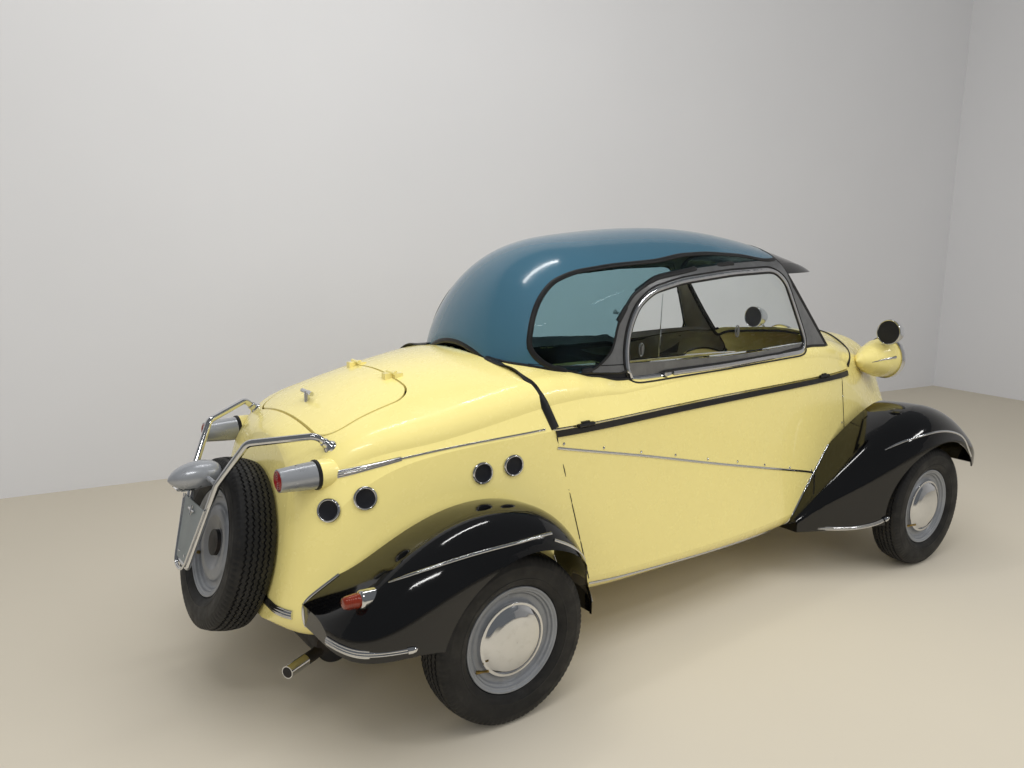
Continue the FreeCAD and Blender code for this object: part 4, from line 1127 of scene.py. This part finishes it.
PLEATS, CROWN, PLEAT_DEPTH, PADDING = 6, 6, 7, 0.7
CUSHION = (("REMESH", {"mode": "VOXEL", "voxel_size": 0.007}), ("SMOOTH", {"factor": 0.8, "iterations": 26}))
for node in ("front_seat", "rear_seat"):
    shaped = modified(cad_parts[node].data.copy(), CUSHION)
    low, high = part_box(node)
    shaped.update()
    normals = [v.normal.copy() for v in shaped.vertices]
    for vert, normal in zip(shaped.vertices, normals):
        across = (vert.co.y - low[1]) / (high[1] - low[1])
        facing = max(normal.z, normal.x, 0)
        inside = max(0, min(1, 6 * across, 6 * (1 - across)))
        pleat = abs(math.sin(math.pi * PLEATS * across))
        vert.co += normal * MM * facing * inside * (CROWN - PLEAT_DEPTH * (1 - pleat) ** 3)
    shaped.shade_smooth()
    soft = settle("cushion_" + node, shaped, NAVY, "body")
    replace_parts(soft, node)

# Floor, backdrop, lights and camera


def stage_material(name, colour):
    """A plain pale finish for the floor and the walls."""
    made, tree, shader, place = new_material(name)
    shade = blend_colours(tree, spread(tree, noise(tree, place, 0.8), 0, 1), scaled(colour, 0.97), colour)
    tree.links.new(shade, shader.inputs["Base Color"])
    set_sockets(shader, Roughness=0.9, Specular_IOR_Level=0.2)
    return made


def plane(name, corners, finish):
    mesh = bpy.data.meshes.new(name)
    mesh.from_pydata(corners, [], [tuple(range(len(corners)))])
    mesh.materials.append(finish)
    placed(name, mesh)


FLOOR_REACH = 30
FLOOR_Z = -0.0006
corners = [(x * FLOOR_REACH, y * FLOOR_REACH, FLOOR_Z) for x, y in ((-1, -1), (1, -1), (1, 1), (-1, 1))]
plane("floor", corners, stage_material("floor_finish", linear(206, 198, 182)))
WALL_TOP = 4.2
WALL_ENDS = ((-12, 3.55), (4.72, 1.33), (4.3, -9))
wall_finish = stage_material("wall_finish", linear(222, 222, 224))
walls = wall_finish.node_tree
side_seen = add(walls, "NewGeometry")
clear = add(walls, "BsdfTransparent")
one_sided = add(walls, "MixShader")
for source, target in ((side_seen.outputs["Backfacing"], one_sided.inputs["Fac"]),
                       (walls.nodes["Principled BSDF"].outputs[0], one_sided.inputs[1]),
                       (clear.outputs[0], one_sided.inputs[2]),
                       (one_sided.outputs[0], walls.nodes["Material Output"].inputs["Surface"])):
    walls.links.new(source, target)
for name, start, end in zip(("wall_left", "wall_far"), WALL_ENDS, WALL_ENDS[1:]):
    plane(name, [start + (FLOOR_Z,), end + (FLOOR_Z,), end + (WALL_TOP,), start + (WALL_TOP,)], wall_finish)

world = bpy.data.worlds.new("studio")
bpy.context.scene.world = world
world.use_nodes = True
sky = world.node_tree
sky.nodes.clear()
out = add(sky, "OutputWorld")
seen = add(sky, "Background", Color=linear(222, 221, 219), Strength=1.0)
light = add(sky, "Background", Color=linear(236, 238, 240), Strength=0.44)
mirror_light = add(sky, "Background", Color=linear(200, 204, 208), Strength=0.24)
ray = add(sky, "LightPath")
either = add(sky, "Math")
either.operation = "MAXIMUM"
shine = add(sky, "MixShader")
mix = add(sky, "MixShader")
for source, target in ((ray.outputs["Is Camera Ray"], either.inputs[0]),
                       (ray.outputs["Is Transmission Ray"], either.inputs[1]),
                       (ray.outputs["Is Glossy Ray"], shine.inputs["Fac"]),
                       (light.outputs[0], shine.inputs[1]), (mirror_light.outputs[0], shine.inputs[2]),
                       (either.outputs[0], mix.inputs["Fac"]), (shine.outputs[0], mix.inputs[1]),
                       (seen.outputs[0], mix.inputs[2]), (mix.outputs[0], out.inputs["Surface"])):
    sky.links.new(source, target)

LAMPS = (
    # name, place, aimed at, width, length, watts, seen in reflections
    ("soft_top", (-0.6, -0.8, 3.6), (0.0, 0.0, 0.5), 3.0, 4.0, 65, False),
    ("soft_rear", (-3.8, -2.2, 2.2), (-0.5, 0.0, 0.5), 2.0, 2.0, 31, False),
    ("soft_right", (0.6, -3.6, 2.2), (0.2, 0.0, 0.5), 1.6, 3.0, 31, False),
    ("tube_one", (-0.5, 0.3, 3.2), (-0.5, 0.0, 0.5), 0.10, 1.5, 8, True),
    ("tube_two", (-2.2, -1.6, 3.0), (-0.8, 0.0, 0.5), 0.12, 1.2, 9, True),
    ("tube_three", (1.6, -2.4, 2.8), (0.8, 0.0, 0.4), 0.16, 1.2, 11, True),
)
LAMP_COLOUR = (1.0, 0.99, 0.97)
for name, at, target, width, length, power, mirrored_in in LAMPS:
    lamp = bpy.data.lights.new(name, "AREA")
    lamp.shape = "RECTANGLE"
    lamp.size, lamp.size_y = length, width
    lamp.energy = power
    lamp.color = LAMP_COLOUR
    made = placed(name, lamp)
    made.location = at
    made.visible_glossy = mirrored_in
    made.rotation_euler = (Vector(target) - Vector(at)).to_track_quat("-Z", "Y").to_euler()

CAMERA_AT = (-2.0220, -2.1709, 1.2550)
CAMERA_YAW, CAMERA_PITCH, CAMERA_ROLL = 0.942030362, 0.186666981, 0.0116694939
FOCAL_PIXELS, FRAME_PIXELS, SENSOR = 858, 1024, 36
camera = placed("camera", bpy.data.cameras.new("camera"))
ahead = Vector((math.cos(CAMERA_YAW) * math.cos(CAMERA_PITCH), math.sin(CAMERA_YAW) * math.cos(CAMERA_PITCH),
                -math.sin(CAMERA_PITCH)))
level = Vector((math.sin(CAMERA_YAW), -math.cos(CAMERA_YAW), 0))
upward = level.cross(ahead)
right = level * math.cos(CAMERA_ROLL) + upward * math.sin(CAMERA_ROLL)
upward = upward * math.cos(CAMERA_ROLL) - level * math.sin(CAMERA_ROLL)
camera.matrix_world = Matrix((
    (right.x, upward.x, -ahead.x, CAMERA_AT[0]), (right.y, upward.y, -ahead.y, CAMERA_AT[1]),
    (right.z, upward.z, -ahead.z, CAMERA_AT[2]), (0, 0, 0, 1)))
camera.data.sensor_width = SENSOR
camera.data.lens = FOCAL_PIXELS / FRAME_PIXELS * SENSOR
bpy.context.scene.camera = camera
bpy.context.scene.view_settings.view_transform = "Standard"
